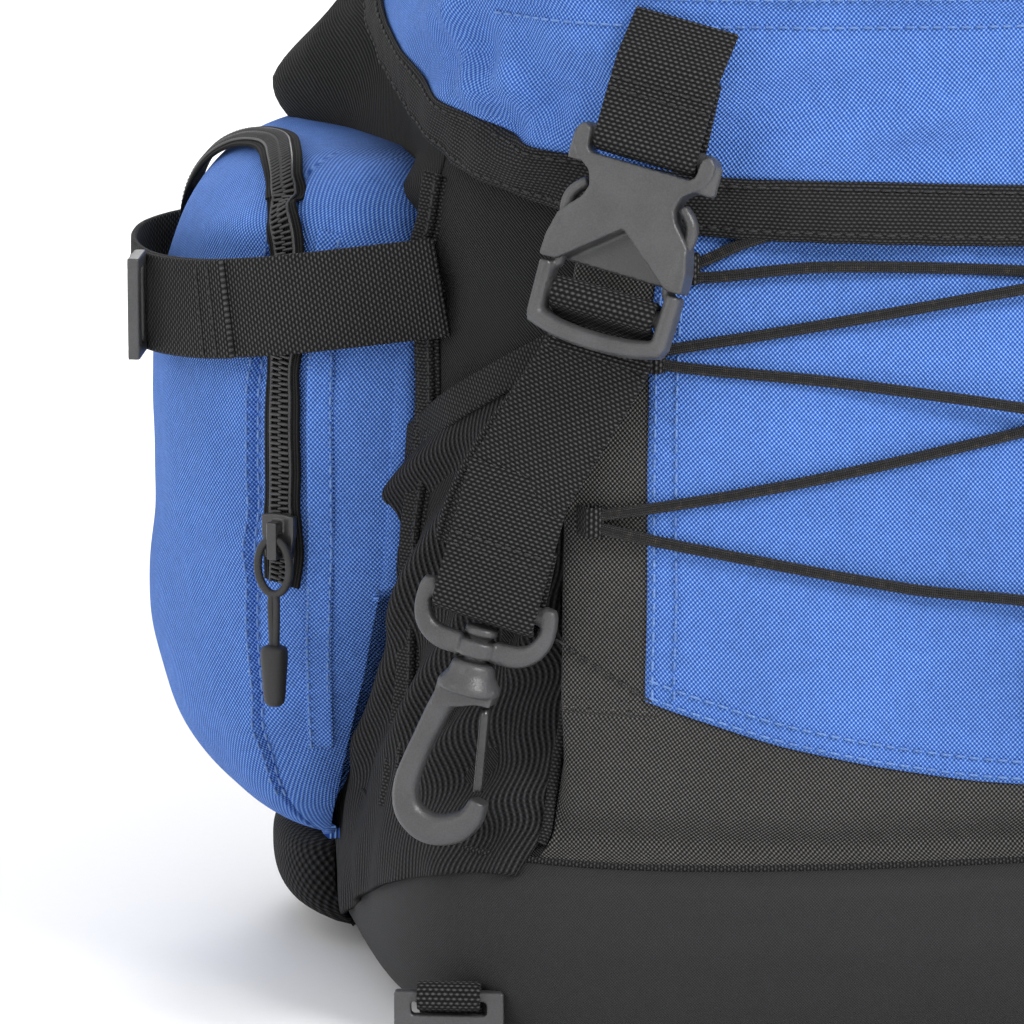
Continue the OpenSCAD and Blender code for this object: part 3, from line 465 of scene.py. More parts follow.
def shell(name, p, thick, paint, wrap=False, centre=(0, 0, 150), turned=False):
    """Closed sheet of cloth from its outer grid of points, rows by columns."""
    rows, cols = p.shape[:2]
    uv = np.stack([lengths(p, 1), lengths(p, 0)], -1)
    if turned:
        uv = uv[..., ::-1]
    du = np.gradient(p, axis=1)
    if wrap:
        du[:, 0] = du[:, -1] = p[:, 1] - p[:, -2]
    n = np.cross(du, np.gradient(p, axis=0))
    n /= np.maximum(np.linalg.norm(n, axis=-1, keepdims=True), 1e-9)
    flip = np.sum(n * (p - np.array(centre, float))) < 0
    if flip:
        n = -n
    w = cols - 1 if wrap else cols
    inner = p - n * thick
    verts = np.concatenate([p[:, :w].reshape(-1, 3), inner[:, :w].reshape(-1, 3)])
    k = rows * w
    j, i = np.mgrid[0:rows - 1, 0:cols - 1]
    ring = [(j, i), (j, i + 1), (j + 1, i + 1), (j + 1, i)]
    quad = np.stack([a * w + b % w for a, b in ring], -1).reshape(-1, 4)
    mark = np.stack([uv[a, b] for a, b in ring], -2).reshape(-1, 4, 2)
    outer, inside = (quad[:, ::-1], quad + k) if flip else (quad, quad[:, ::-1] + k)
    outer_uv, inside_uv = (mark[:, ::-1], mark) if flip else (mark, mark[:, ::-1])
    faces, marks = [outer, inside], [outer_uv, inside_uv]
    edges = [[(0, c) for c in range(cols)], [(rows - 1, c) for c in range(cols - 1, -1, -1)]]
    if not wrap:
        edges += [[(r, cols - 1) for r in range(rows)], [(r, 0) for r in range(rows - 1, -1, -1)]]
    for edge in edges:
        e = np.array(edge)
        ids = e[:, 0] * w + e[:, 1] % w
        m = uv[e[:, 0], e[:, 1]]
        rim = np.stack([ids[1:], ids[:-1], ids[:-1] + k, ids[1:] + k], -1)
        rim_uv = np.stack([m[1:], m[:-1], m[:-1] + thick, m[1:] + thick], -2)
        if flip:
            rim, rim_uv = rim[:, ::-1], rim_uv[:, ::-1]
        faces.append(rim)
        marks.append(rim_uv)
    return make(name, verts, np.concatenate(faces).tolist(), paint, np.concatenate(marks).reshape(-1, 2))


def sweep(sections, across=None):
    """Vertices, faces and corner uvs of a closed loft through equal rings (steps, ring, 3)."""
    s = np.asarray(sections, float)
    steps, ring = s.shape[:2]
    path = np.concatenate([[0], np.cumsum(np.linalg.norm(np.diff(s.mean(1), axis=0), axis=1))])
    round_ = np.concatenate([[0], np.cumsum(np.linalg.norm(np.diff(s[steps // 2], axis=0, append=s[steps // 2][:1]), axis=1))])
    faces, uvs = [], []
    for j in range(steps - 1):
        for i in range(ring):
            q = (i + 1) % ring
            faces.append([j * ring + i, j * ring + q, (j + 1) * ring + q, (j + 1) * ring + i])
            uvs += [(round_[i], path[j]), (round_[i + 1], path[j]), (round_[i + 1], path[j + 1]), (round_[i], path[j + 1])]
    faces.append(list(range(ring))[::-1])
    faces.append([(steps - 1) * ring + i for i in range(ring)])
    uvs += [(0, 0)] * (2 * ring)
    return s.reshape(-1, 3), faces, uvs


def tangents(path):
    d = np.gradient(np.asarray(path, float), axis=0)
    return d / np.maximum(np.linalg.norm(d, axis=1, keepdims=True), 1e-9)


def resample(path, step):
    path = np.asarray(path, float)
    at = np.concatenate([[0], np.cumsum(np.linalg.norm(np.diff(path, axis=0), axis=1))])
    want = np.linspace(0, at[-1], max(int(at[-1] / step) + 1, 3))
    return np.stack([np.interp(want, at, path[:, k]) for k in range(3)], -1)


def smooth_route(pts, step=2.0):
    return resample(spline(pts, np.linspace(0, 1, 24 * len(pts))), step)


def rings(path, width, thick, face, shape=4.0, sides=12):
    """Rounded flat sections along a path; face gives the outward direction at each point."""
    path = np.asarray(path, float)
    d = tangents(path)
    n = np.broadcast_to(np.asarray(face, float), path.shape)
    n = n - np.sum(n * d, 1, keepdims=True) * d
    n = n / np.linalg.norm(n, axis=1, keepdims=True)
    s = np.cross(d, n)
    a = np.arange(sides) * 2 * math.pi / sides + math.pi / sides
    ca, sa = np.cos(a), np.sin(a)
    k = (np.abs(ca) ** shape + np.abs(sa) ** shape) ** (-1 / shape)
    width, thick = (np.broadcast_to(np.asarray(v, float), len(path)) for v in (width, thick))
    return (path[:, None] + s[:, None] * (k * ca)[None, :, None] * width[:, None, None] / 2
            + n[:, None] * (k * sa)[None, :, None] * thick[:, None, None] / 2)


def ribbon_parts(path, width, thick, face):
    """Webbing: a flat band with slightly rounded selvedges, its pattern laid across and along."""
    path = np.asarray(path, float)
    d = tangents(path)
    n = np.broadcast_to(np.asarray(face, float), path.shape)
    n = n - np.sum(n * d, 1, keepdims=True) * d
    n = n / np.linalg.norm(n, axis=1, keepdims=True)
    s = np.cross(d, n)
    half = width / 2
    xs = np.array([-half, -half + .5, -half * .6, -half * .2, half * .2, half * .6, half - .5, half])
    crown = np.array([.25, .46, .5, .5, .5, .5, .46, .25]) * thick
    ring_x, ring_h = np.concatenate([xs, xs[::-1]]), np.concatenate([crown, -crown[::-1]])
    sec = path[:, None] + s[:, None] * ring_x[None, :, None] + n[:, None] * ring_h[None, :, None]
    verts, faces, _ = sweep(sec)
    along = np.concatenate([[0], np.cumsum(np.linalg.norm(np.diff(path, axis=0), axis=1))])
    ring = len(ring_x)
    uvs = []
    for f in faces:
        for v in f:
            uvs.append((ring_x[v % ring], along[v // ring]))
    return verts, faces, uvs


def tube_parts(path, radius, sides=10):
    path = np.asarray(path, float)
    d = tangents(path)
    n = np.cross(d[0], [0.11, 0.95, 0.3])
    frames = []
    for t in d:
        n = n - (n @ t) * t
        n /= np.linalg.norm(n)
        frames.append((n, np.cross(t, n)))
    radius = np.broadcast_to(np.asarray(radius, float), len(path))
    a = np.arange(sides) * 2 * math.pi / sides
    return sweep([[p + r * (math.cos(x) * m + math.sin(x) * b) for x in a]
                  for p, r, (m, b) in zip(path, radius, frames)])


class Heap:
    """Many small parts gathered into one mesh."""

    def __init__(self):
        self.verts, self.faces, self.uvs, self.count = [], [], [], 0

    def add(self, parts, mirror=False, matrix=None):
        verts, faces, uvs = parts
        verts = np.asarray(verts, float)
        if matrix is not None:
            verts = verts @ np.array(matrix.to_3x3()).T + np.array(matrix.translation)
        order = [f[::-1] for f in faces] if mirror else faces
        if mirror:
            verts = verts * (-1, 1, 1)
            start, flipped = 0, []
            for f in faces:
                flipped += list(uvs[start:start + len(f)])[::-1]
                start += len(f)
            uvs = flipped
        self.verts.append(verts)
        self.faces += [[v + self.count for v in f] for f in order]
        self.uvs += list(uvs)
        self.count += len(verts)
        return self

    def make(self, name, paint):
        return make(name, np.concatenate(self.verts), self.faces, paint, self.uvs)


def capsule(a, b, radius):
    """One stitch or tooth from a to b."""
    a, b = np.asarray(a, float), np.asarray(b, float)
    t = np.array([0, .12, .5, .88, 1])
    r = radius * np.array([.35, .9, 1, .9, .35])
    return tube_parts(a + (b - a) * t[:, None], r, 6)


def stitch_line(heap, path, normal, pitch=3.4, radius=.34, raised=.15, mirror=False):
    path = resample(path, pitch / 2)
    normal = np.broadcast_to(np.asarray(normal, float), path.shape) if np.ndim(normal) < 2 else normal
    for i in range(0, len(path) - 1, 2):
        a, b = path[i], path[i + 1]
        heap.add(capsule(a + (b - a) * -.2 + normal[i] * raised, a + (b - a) * 1.2 + normal[i] * raised, radius), mirror)


def placed(piece_fn):
    """Left and right versions of a piece: piece_fn(side, mirror)."""
    for side, mirror in (("left", False), ("right", True)):
        piece_fn(side, mirror)


def flip_x(piece):
    piece.data.transform(Matrix.Scale(-1, 4, (1, 0, 0)))
    piece.data.flip_normals()
    return piece


def moulded(name, parts, voxel, passes, paint, matrix=None, mirror=False):
    """Overlapping closed parts fused into one softly rounded moulding."""
    heap = Heap()
    for part in parts:
        heap.add(part, False, matrix)
    rough = heap.make(name + "_rough", paint)
    fuse = rough.modifiers.new("fuse", "REMESH")
    fuse.mode, fuse.voxel_size = "VOXEL", voxel * MM
    soft = rough.modifiers.new("soft", "SMOOTH")
    soft.factor, soft.iterations = 0.5, passes
    graph = bpy.context.evaluated_depsgraph_get()
    mesh = bpy.data.meshes.new_from_object(rough.evaluated_get(graph))
    bpy.data.objects.remove(rough)
    mesh.polygons.foreach_set("use_smooth", [True] * len(mesh.polygons))
    piece = bpy.data.objects.new(name, mesh)
    bpy.context.collection.objects.link(piece)
    if mirror:
        flip_x(piece)
    return piece


def prism(outline, thick, centre=0.0):
    """Plate from an outline in the X-Z plane, centred on Y."""
    pts = np.array(outline, float)
    rows = [np.stack([pts[:, 0], np.full(len(pts), centre + s * thick / 2), pts[:, 1]], -1) for s in (-1, 1)]
    n = len(pts)
    area = sum(pts[i, 0] * pts[(i + 1) % n, 1] - pts[(i + 1) % n, 0] * pts[i, 1] for i in range(n))
    faces = [list(range(n)), [n + i for i in range(n)][::-1]]
    faces += [[(i + 1) % n, i, n + i, n + (i + 1) % n] for i in range(n)]
    if area < 0:
        faces = [f[::-1] for f in faces]
    return np.concatenate(rows), faces, [(0, 0)] * sum(len(f) for f in faces)


def block(lo, hi):
    (x0, y0, z0), (x1, y1, z1) = lo, hi
    return prism([(x0, z0), (x1, z0), (x1, z1), (x0, z1)], y1 - y0, (y0 + y1) / 2)


def rod(a, b, radius, sides=16):
    return tube_parts(np.linspace(a, b, 5), radius, sides)


def lathe(profile, sides=28):
    """Turned part about Z from (radius, z) pairs."""
    a = np.arange(sides) * 2 * math.pi / sides
    return sweep([np.stack([r * np.cos(a), r * np.sin(a), np.full(sides, z)], -1) for r, z in profile])


def frame_at(place, turn):
    rot = Euler([math.radians(t) for t in turn], "XYZ").to_matrix().to_4x4()
    return Matrix.Translation(Vector(place)) @ rot


def grid(u0, u1, nu, v0, v1, nv):
    return np.meshgrid(np.linspace(u0, u1, nu), np.linspace(v0, v1, nv))


# ---- shock cord and its lock ----
CORD_D = 2.7
LIFT = CORD_D / 2 + .5
OVER = LIFT + CORD_D + .6
HOOKS = [(91.5, 192), (99.5, 171.6), (113, 132.5)]
LOCK_Z, LOCK_LIFT = 100, 5.2


def cord_route():
    def run(pts, o):
        return [(x, z, o if abs(x) < 30 else LIFT) for x, z in pts]

    def eye(s, hook, up):
        return [(s * (hook[0] - (0 if k == 0 else 3)), hook[1] + up * 1.9 * k, LIFT + .5) for k in (-1, 0, 1)]

    a = [(-60, 192.4), (-17, 190.6), (12, 187.4), (60, 179.5)]
    b = [(-60, 179.5), (-12, 187.4), (17, 190.6), (60, 192.4)]
    c = [(-60, 166), (-17, 159.6), (14, 153.4), (62, 143.5)]
    d = [(-62, 143.5), (-14, 153.4), (17, 159.6), (60, 166)]
    foot = [LOCK_Z - 34, LOCK_Z - 10, LOCK_Z + 10]
    side = [(42, LOCK_Z + 17), (80, LOCK_Z + 24.7)]
    pts = [(-2, foot[0], LIFT), (-2, foot[1], LOCK_LIFT), (-2, foot[2], LOCK_LIFT)]
    pts += [(-x, z, LIFT) for x, z in side] + eye(-1, HOOKS[2], 1) + run(d, LIFT) + eye(1, HOOKS[1], 1)
    pts += run(a, LIFT)[::-1] + eye(-1, HOOKS[0], 1) + [(x, 200, LIFT) for x in range(-70, 71, 35)]
    pts += eye(1, HOOKS[0], -1) + run(b, OVER)[::-1] + eye(-1, HOOKS[1], -1) + run(c, OVER) + eye(1, HOOKS[2], -1)
    pts += [(x, z, LIFT) for x, z in side[::-1]]
    pts += [(2, foot[2], LOCK_LIFT), (2, foot[1], LOCK_LIFT), (2, foot[0], LIFT)]
    flat = resample(spline(pts, np.linspace(0, 1, 24 * len(pts))), 1.5)
    return on_pouch(flat[:, 0], flat[:, 1], flat[:, 2])


route = cord_route()
cord = put(Heap().add(tube_parts(route, CORD_D / 2, 12)).make("lacing_cord", CORD), "pack", "elastic_cord", "shock_cord")

loops = Heap()
for s in (-1, 1):
    for hook in HOOKS:
        a = 50 if hook[0] > 110 else 33
        n = np.array([s * math.sin(math.radians(a)), -math.cos(math.radians(a)), 0])
        t = np.array([-n[1], n[0], 0])
        c = on_pouch(s * hook[0], hook[1], LIFT + .4)
        arc = [c + s * t * 7 * 1 - n * 1.4] + [c + s * t * (-1.8 * math.cos(q)) + n * 1.9 * math.sin(q) * 1.15
                                               for q in np.linspace(-2.2, 2.2, 13)][::-1] + [c + s * t * 7 - n * 1.0]
        loops.add(ribbon_parts(resample(arc, .7), 7, .8, np.cross(tangents(resample(arc, .7)), [0, 0, 1.0])))
put(loops.make("lacing_loops", WEB), "pack", "webbing", "cord_loops")

lock_y = float(on_pouch(0, LOCK_Z, LOCK_LIFT)[1])
cup, cup_faces, cup_uvs = lathe([(5, 5), (5, 11.6), (3.9, 11.6), (3.9, 6.4)])
sleeve = (cup[:, [2, 1, 0]] * (1, 1, -1) + (0, lock_y, LOCK_Z), cup_faces, cup_uvs)
put(moulded("lock_barrel", [
    block((-8, lock_y - 4.2, LOCK_Z - 6), (-4.3, lock_y + 4.2, LOCK_Z + 6)),
    block((4.3, lock_y - 4.2, LOCK_Z - 6), (6, lock_y + 4.2, LOCK_Z + 6)),
    block((-8, lock_y - 4.2, LOCK_Z - 6), (6, lock_y - 2.2, LOCK_Z + 6)),
    block((-8, lock_y + 2.2, LOCK_Z - 6), (6, lock_y + 4.2, LOCK_Z + 6)),
    sleeve], .4, 3, PLASTIC), "pack", "black_plastic", "cord_lock_body")
put(moulded("lock_button", [
    rod((11.9, lock_y, LOCK_Z), (16.6, lock_y, LOCK_Z), 3.0),
    rod((16.4, lock_y, LOCK_Z), (19.6, lock_y, LOCK_Z), 4.4)], .35, 3, PLASTIC),
    "cord_button", "black_plastic", "cord_lock_button")

# ---- body panels ----
stitches = {"pack": Heap(), "lid": Heap()}
blue_stitches = {"pack": Heap(), "lid": Heap()}


def span(fn, a0, a1, na, z0, z1, nz, o=0.0):
    a, v = grid(a0, a1, na, 0, 1, nz)
    low = z0(a) if callable(z0) else z0
    high = z1(a) if callable(z1) else z1
    return fn(a, low + (high - low) * v, o)


def under_lid(z):
    return 304


put(shell("front_cloth", span(body, -SEAM_ANG, SEAM_ANG, 130, LOW_Z, 304, 110), 1.2, BLACK), "pack", "black_fabric",
    "front_panel")
for side, sign in (("left", -1), ("right", 1)):
    put(shell("side_cloth_" + side, span(body, sign * BACK_ANG, sign * (SEAM_ANG + .4), 90, LOW_Z, 304, 110), 1.2, BLACK),
        "pack", "black_fabric", "side_panel_" + side)
put(shell("back_cloth", span(body, BACK_ANG + .4, 359.6 - BACK_ANG, 90, LOW_Z, 304, 90, -.2), 1.2, MESH), "pack",
    "mesh_fabric", "back_panel")


def base_grid():
    angs = np.linspace(-180, 180, 241)
    rows = []
    for z in np.concatenate([np.linspace(LOW_Z + 2, 6, 26), [4, 2.6]]):
        p = body(angs, np.full_like(angs, z), .5)
        rows.append(p)
    foot = rows[-1]
    for s, z in zip((.985, .96, .92, .8, .6, .4, .2, .02), (1.6, 1.0, .7, .6, .6, .6, .6, .6)):
        p = foot * (s, s, 0)
        p[:, 2] = z
        rows.append(p)
    return np.array(rows)


put(shell("base_cloth_shell", base_grid(), 1.0, BASE, wrap=True, centre=(0, 0, 60)), "pack", "base_fabric",
    "bottom_panel")
patch_a = np.linspace(-180, 180, 81)
px, py = polar(patch_a, BODY_W * .76, BODY_F * .7, 3.4)
patch = np.array([stack(px * s, py * s, np.full_like(px, .1)) for s in (1, .98, .6, .02)])
put(shell("base_wear_patch", patch, -.5, BASE, wrap=True, centre=(0, 0, 60)), "pack", "base_fabric", "base_patch")
put(shell("collar_cloth", np.stack([
    body(np.linspace(-180, 180, 241), np.full(241, z), -1 - 10 * ((z - 300) / 35) ** 2
         + 1.5 * np.sin(np.radians(np.linspace(-180, 180, 241) * 23)) * ((z - 300) / 35))
    for z in np.linspace(300, 334, 14)]), .8, LINING, wrap=True), "pack", "black_fabric", "collar")
for node, paint in (("frame_sheet", SHEET), ("frame_stay", METAL)):
    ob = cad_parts[node]
    ob.data.materials.clear()
    ob.data.materials.append(paint)

# ---- front pocket ----


def pocket_edge(a, z, depth):
    """Pocket surface rolled down to the body at depth 1."""
    p, q = pouch(a, z), body(a, z, 1.0)
    k = (1 - np.cos(np.clip(depth, 0, 1) * math.pi / 2))[..., None]
    return p + (q - p) * k


def blue_low(a):
    return 68 + 22 * np.minimum(np.abs(a) / BLUE_ANG, 1) ** 2


a, v = grid(-BLUE_ANG, BLUE_ANG, 180, 0, 1, 120)
p = pouch(a, blue_low(a) + (POUCH_HIGH - 2 - blue_low(a)) * v, 0.5)
put(shell("pocket_blue_cloth", p, 1.3, BLUE), "pack", "blue_fabric", "front_pocket")
for s in (-1, 1):
    for inset, count in ((.7, 60), (2.6, 60)):
        z = np.linspace(blue_low(BLUE_ANG) + 1, 205, count)
        path = pouch(np.full(count, s * (BLUE_ANG - inset)), z, .75)
        stitch_line(blue_stitches["pack"], path, (s * .6, -.8, 0))
a = np.linspace(-BLUE_ANG + .5, BLUE_ANG - .5, 90)
for inset in (1.4, 5.5):
    stitch_line(blue_stitches["pack"], pouch(a, blue_low(a) + inset, .75), (0, -1, 0))

gusset = []
edge = 2.2
for s in (-1, 1):
    cols = np.concatenate([np.linspace(BLUE_ANG - .8, POUCH_ANG - edge, 26), np.linspace(POUCH_ANG - edge, POUCH_ANG, 8)[1:]])
    a, v = np.meshgrid(s * cols, np.linspace(0, 1, 110))
    z = blue_low(BLUE_ANG) - 4 + (POUCH_HIGH - 4 - blue_low(BLUE_ANG)) * v
    gusset.append(pocket_edge(a, z, (np.abs(a) - POUCH_ANG + edge) / edge))
cols = np.concatenate([np.linspace(-POUCH_ANG, -POUCH_ANG + edge, 8)[:-1], np.linspace(-POUCH_ANG + edge, POUCH_ANG - edge, 150),
                       np.linspace(POUCH_ANG - edge, POUCH_ANG, 8)[1:]])
a, v = np.meshgrid(cols, np.linspace(0, 1, 34))
z = POUCH_LOW - 3 + (blue_low(a) + 3 - POUCH_LOW) * v
drop = np.maximum((np.abs(a) - POUCH_ANG + edge) / edge, 1 - (z - POUCH_LOW + 3) / 13)
gusset.append(pocket_edge(a, z, drop))
merge = Heap()
for name, p in zip(("gusset_left", "gusset_right", "gusset_low"), gusset):
    part = shell(name, p, 1.1, GREY)
    put(part, "pack", "gray_fabric", *(["front_gusset"] if name == "gusset_low" else []))
for s in (-1, 1):
    a = np.linspace(s * (BLUE_ANG - .5), s * (POUCH_ANG - 1), 20)
    z = 90 + 14 * np.linspace(0, 1, 20)
    seam = pouch(a, z, .2)
    stitch_line(stitches["pack"], seam, (s * .7, -.7, 0))

# ---- stretch panels at the lower corners ----


def stretch_top(a):
    return 172 - 52 * (np.abs(a) - 56) / 34


def stretch(a, z, o=0.0):
    p = body(a, z, 2.4 + o)
    push = wobble(p * (1, 1, .3), 12, 21) * .9 * np.clip((stretch_top(a) - z) / 25, .2, 1)
    for r in SIDE_FOLDS:
        push = push + crease(p, r, 3.8, 3.6)
    return p + outward(a) * push[..., None]


for side, s in (("left", -1), ("right", 1)):
    a, v = grid(s * 93, s * 55.4, 130, 0, 1, 140)
    low = LOW_Z - 1 - 34 * np.clip((np.abs(a) - 57) / 34, 0, 1) ** 1.3
    p = stretch(a, low + (stretch_top(a) - low) * v)
    put(shell("stretch_cloth_" + side, p, 1.6, STRETCH), "pack", "mesh_fabric", "stretch_side_" + side)
trim = Heap()
for s, mirror in ((-1, False), (1, True)):
    a = np.linspace(-93, -55.4, 60)
    top = stretch(a, stretch_top(a), .8)
    trim.add(ribbon_parts(top, 8, 1.6, outward(a)), mirror)
    z = np.linspace(206, 52, 80)
    seam = body(np.full(80, -SEAM_ANG), z, 1.3)
    trim.add(ribbon_parts(seam, 8, .9, (-.8, -.6, 0)), mirror)
    trim.add(tube_parts(body(np.full(80, -SEAM_ANG + .8), z, 1.6), 1.1, 8), mirror)
    z = np.linspace(POUCH_LOW, 205, 60)
    trim.add(tube_parts(body(np.full(60, -POUCH_ANG - .5), z, 1.4), 1.3, 8), mirror)
a = np.linspace(-180, 180, 361)
trim.add(tube_parts(body(a, np.full(361, LOW_Z + 1.5), .6), .8, 8))
put(trim.make("seam_bindings", HEM), "pack", "webbing")
for s in (-1, 1):
    for inset in (2.5, -2.5):
        z = np.linspace(204, 54, 60)
        stitch_line(stitches["pack"], body(np.full(60, s * (SEAM_ANG + inset * .4)), z, 2.2), (s * .8, -.6, 0))

# ---- side pockets ----


def pocket_z(v):
    return 119.5 - 86.1 * np.cos(math.pi * v)


def zip_place():
    q = np.array([(.21, 104), (.21, 125), (.21, 150), (.21, 172), (.24, 188), (.31, 199), (.42, 203.2), (.55, 203.4),
                  (.67, 200), (.75, 190), (.79, 172), (.79, 150), (.79, 120)])
    uz = spline(q, np.linspace(0, 1, 260))
    return uz[:, 0], uz[:, 1]


def zip_face(p):
    n = np.stack([p[:, 0] + 150, p[:, 1] - 27, (p[:, 2] - 120) * np.maximum(np.abs(p[:, 2] - 120) - 60, 0) / 18], -1)
    return n / np.linalg.norm(n, axis=1, keepdims=True)


SLIDE_TURN = (0, 0, -38)
# the CAD places the slider without the cloth's small waves
slide_at = np.array([-176.034, -24.988, 116.0])
slide_frame = frame_at(slide_at, SLIDE_TURN)

for side, mirror in (("left", False), ("right", True)):
    u, v = grid(0, 1, 300, 0, 1, 130)
    wall = np.pad(pocket(u, pocket_z(v)), ((1, 1), (1, 1), (0, 0)), mode="edge")
    root = stack(body_x(wall[..., 1], wall[..., 2], -1.5), wall[..., 1], wall[..., 2])
    for edge_rows in ((0, slice(None)), (-1, slice(None)), (slice(None), 0), (slice(None), -1)):
        wall[edge_rows] = root[edge_rows]
    part = shell("pocket_cloth_" + side, wall, 1.3, BLUE, centre=(-150, 27, 120))
    if mirror:
        flip_x(part)
    put(part, "pack", "blue_fabric", "side_pocket_" + side)
    zu, zz = zip_place()
    lie = pocket(zu, zz, 0)
    face = np.cross(pocket(zu, zz + .8) - pocket(zu, zz - .8), pocket(zu + .004, zz) - pocket(zu - .004, zz))
    face *= np.sign(np.sum(face * (lie - (-150, 27, 120)), 1, keepdims=True))
    face = face / np.linalg.norm(face, axis=1, keepdims=True)
    for _ in range(12):
        face[1:-1] = (face[:-2] + face[1:-1] * 2 + face[2:]) / 4
        lie[1:-1] = (lie[:-2] + lie[1:-1] * 2 + lie[2:]) / 4
    face /= np.linalg.norm(face, axis=1, keepdims=True)
    chain = lie + face * 1.7
    across = np.cross(tangents(chain), face)
    tape = Heap().add(ribbon_parts(chain, 10.5, 1.0, face), mirror)
    put(tape.make("zip_tape_" + side, TAPE), "pack", "zip_tape", "side_zip_" + side)
    teeth = Heap()
    dense = resample(chain, .7)
    at = np.concatenate([[0], np.cumsum(np.linalg.norm(np.diff(chain, axis=0), axis=1))])
    face_d = np.stack([np.interp(np.linspace(0, at[-1], len(dense)), at, face[:, k]) for k in range(3)], -1)
    across_d = np.cross(tangents(dense), face_d)
    for i in range(1, len(dense) - 1):
        s = 1 if i % 2 else -1
        mid = dense[i] + face_d[i] * 1.1
        teeth.add(capsule(mid - across_d[i] * s * .5, mid + across_d[i] * s * 2.9, .48), mirror)
    for s in (-1, 1):
        teeth.add(tube_parts(dense[::3] + across_d[::3] * s * 2.9 + face_d[::3] * .8, .45, 6), mirror)
    put(teeth.make("zip_coil_" + side, NYLON), "pack", "zip_tape")
    ends = Heap()
    strip_z = np.linspace(60, 190, 90)
    ends.add(ribbon_parts(pocket(np.full(90, .15), strip_z, .7), 6.5, .9, zip_face(pocket(np.full(90, .15), strip_z))), mirror)
    put(ends.make("pocket_seam_strip_" + side, BLUE), "pack", "blue_fabric")
    for du in (.131, .168):
        stitch_line(blue_stitches["pack"], pocket(np.full(90, du), strip_z, 1.3), (-.6, -.75, 0), mirror=mirror)
    for du in (.262, .285):
        line_z = np.linspace(46, 196, 90)
        stitch_line(blue_stitches["pack"], pocket(np.full(90, du), line_z, .5), (-.85, -.5, 0), mirror=mirror)
    put(moulded("zip_slider_body_" + side, [
        prism([(-3.4, -5), (3.4, -5), (4.4, 1), (4.4, 5.6), (1.2, 6), (-1.2, 6), (-4.4, 5.6), (-4.4, 1)], 2.0, -1.6),
        block((-1.4, -5.8, 1.6), (1.4, -1.6, 4.4)), block((-1.4, -5.8, -4.8), (1.4, -4.6, 4.4)),
        block((-1.4, -5.0, -4.8), (1.4, -2.0, -3.2))], .3, 3, GLOSS, slide_frame, mirror),
        "slider_" + side, "zip_metal", "zip_slider_" + side)
    ang = np.linspace(0, 2 * math.pi, 41)[:-1]
    oval = np.stack([4.4 * np.sin(ang), np.full(40, -4.5), -6.6 + 6.8 * np.cos(ang)], -1)
    oval = np.concatenate([oval, oval[:2]])
    pull = Heap().add(tube_parts(oval, 1.0, 8), mirror, slide_frame)
    for dx in (-.7, .7):
        strand = [(dx * .6, -4.5, -12.6), (dx, -4.6, -16), (dx * .8, -4.5, -22), (dx * .5, -4.4, -27.5)]
        pull.add(tube_parts(spline(strand, np.linspace(0, 1, 20)), .95, 8), mirror, slide_frame)
    grip = [(.2, -41.2), (1.6, -41.0), (2.4, -40.2), (2.7, -38.5), (3.0, -34), (3.3, -30), (3.35, -27.6), (3.0, -26.6),
            (2.0, -26.1), (.2, -26.0)]
    pull.add(lathe(grip[::1], 20), mirror, slide_frame @ Matrix.Translation((0, -4.5, 0)))
    put(pull.make("zip_puller_" + side, RUBBER), "pull_" + side, "pull_rubber", "zip_pull_" + side)

# ---- straps, buckles, tails and hooks ----
BUCKLE_AT, BUCKLE_TURN = np.array([-109.5, -110.5, 199.5]), (-12, 12.5, -30)
TAIL_TURN, END_TURN, HOOK_TURN = (6, 32, -27), (5, 15, -25), (-5, 12.5, -25)
TAIL_RUN, END_RUN = 39.5, 30
TOP_BAR, LOW_BAR, BAR_R = 23.2, -14, 2.0
WEB_W, WEB_T = 25, 1.6
WRAP_R = BAR_R + WEB_T / 2 + .2
buckle_frame = frame_at(BUCKLE_AT, BUCKLE_TURN)
tail_at = np.array(buckle_frame @ Vector((0, 6.3, LOW_BAR - 11)))
tail_frame = frame_at(tail_at, TAIL_TURN)
end_at = np.array(tail_frame @ Vector((0, 0, -TAIL_RUN)))
end_frame = frame_at(end_at, END_TURN)
loop_at = np.array(end_frame @ Vector((0, 0, -END_RUN)))
hook_frame = frame_at(loop_at, HOOK_TURN)


def arc(cy, cz, r, a0, a1, steps):
    return [(cy + r * math.cos(math.radians(t)), cz + r * math.sin(math.radians(t)))
            for t in np.linspace(a0, a1, steps + 1)]


def belt(yz, width=WEB_W, thick=WEB_T, step=1.2):
    """Webbing across X whose route is given as y, z points."""
    pts = resample([(0, y, z) for y, z in yz], step)
    side = np.cross(tangents(pts), (1.0, 0, 0))
    return ribbon_parts(pts, width, thick, side)


def grille(x0, x1, z, y, thick=1.0):
    return block((x0, y, z), (x1, y + thick, z + 1.2))


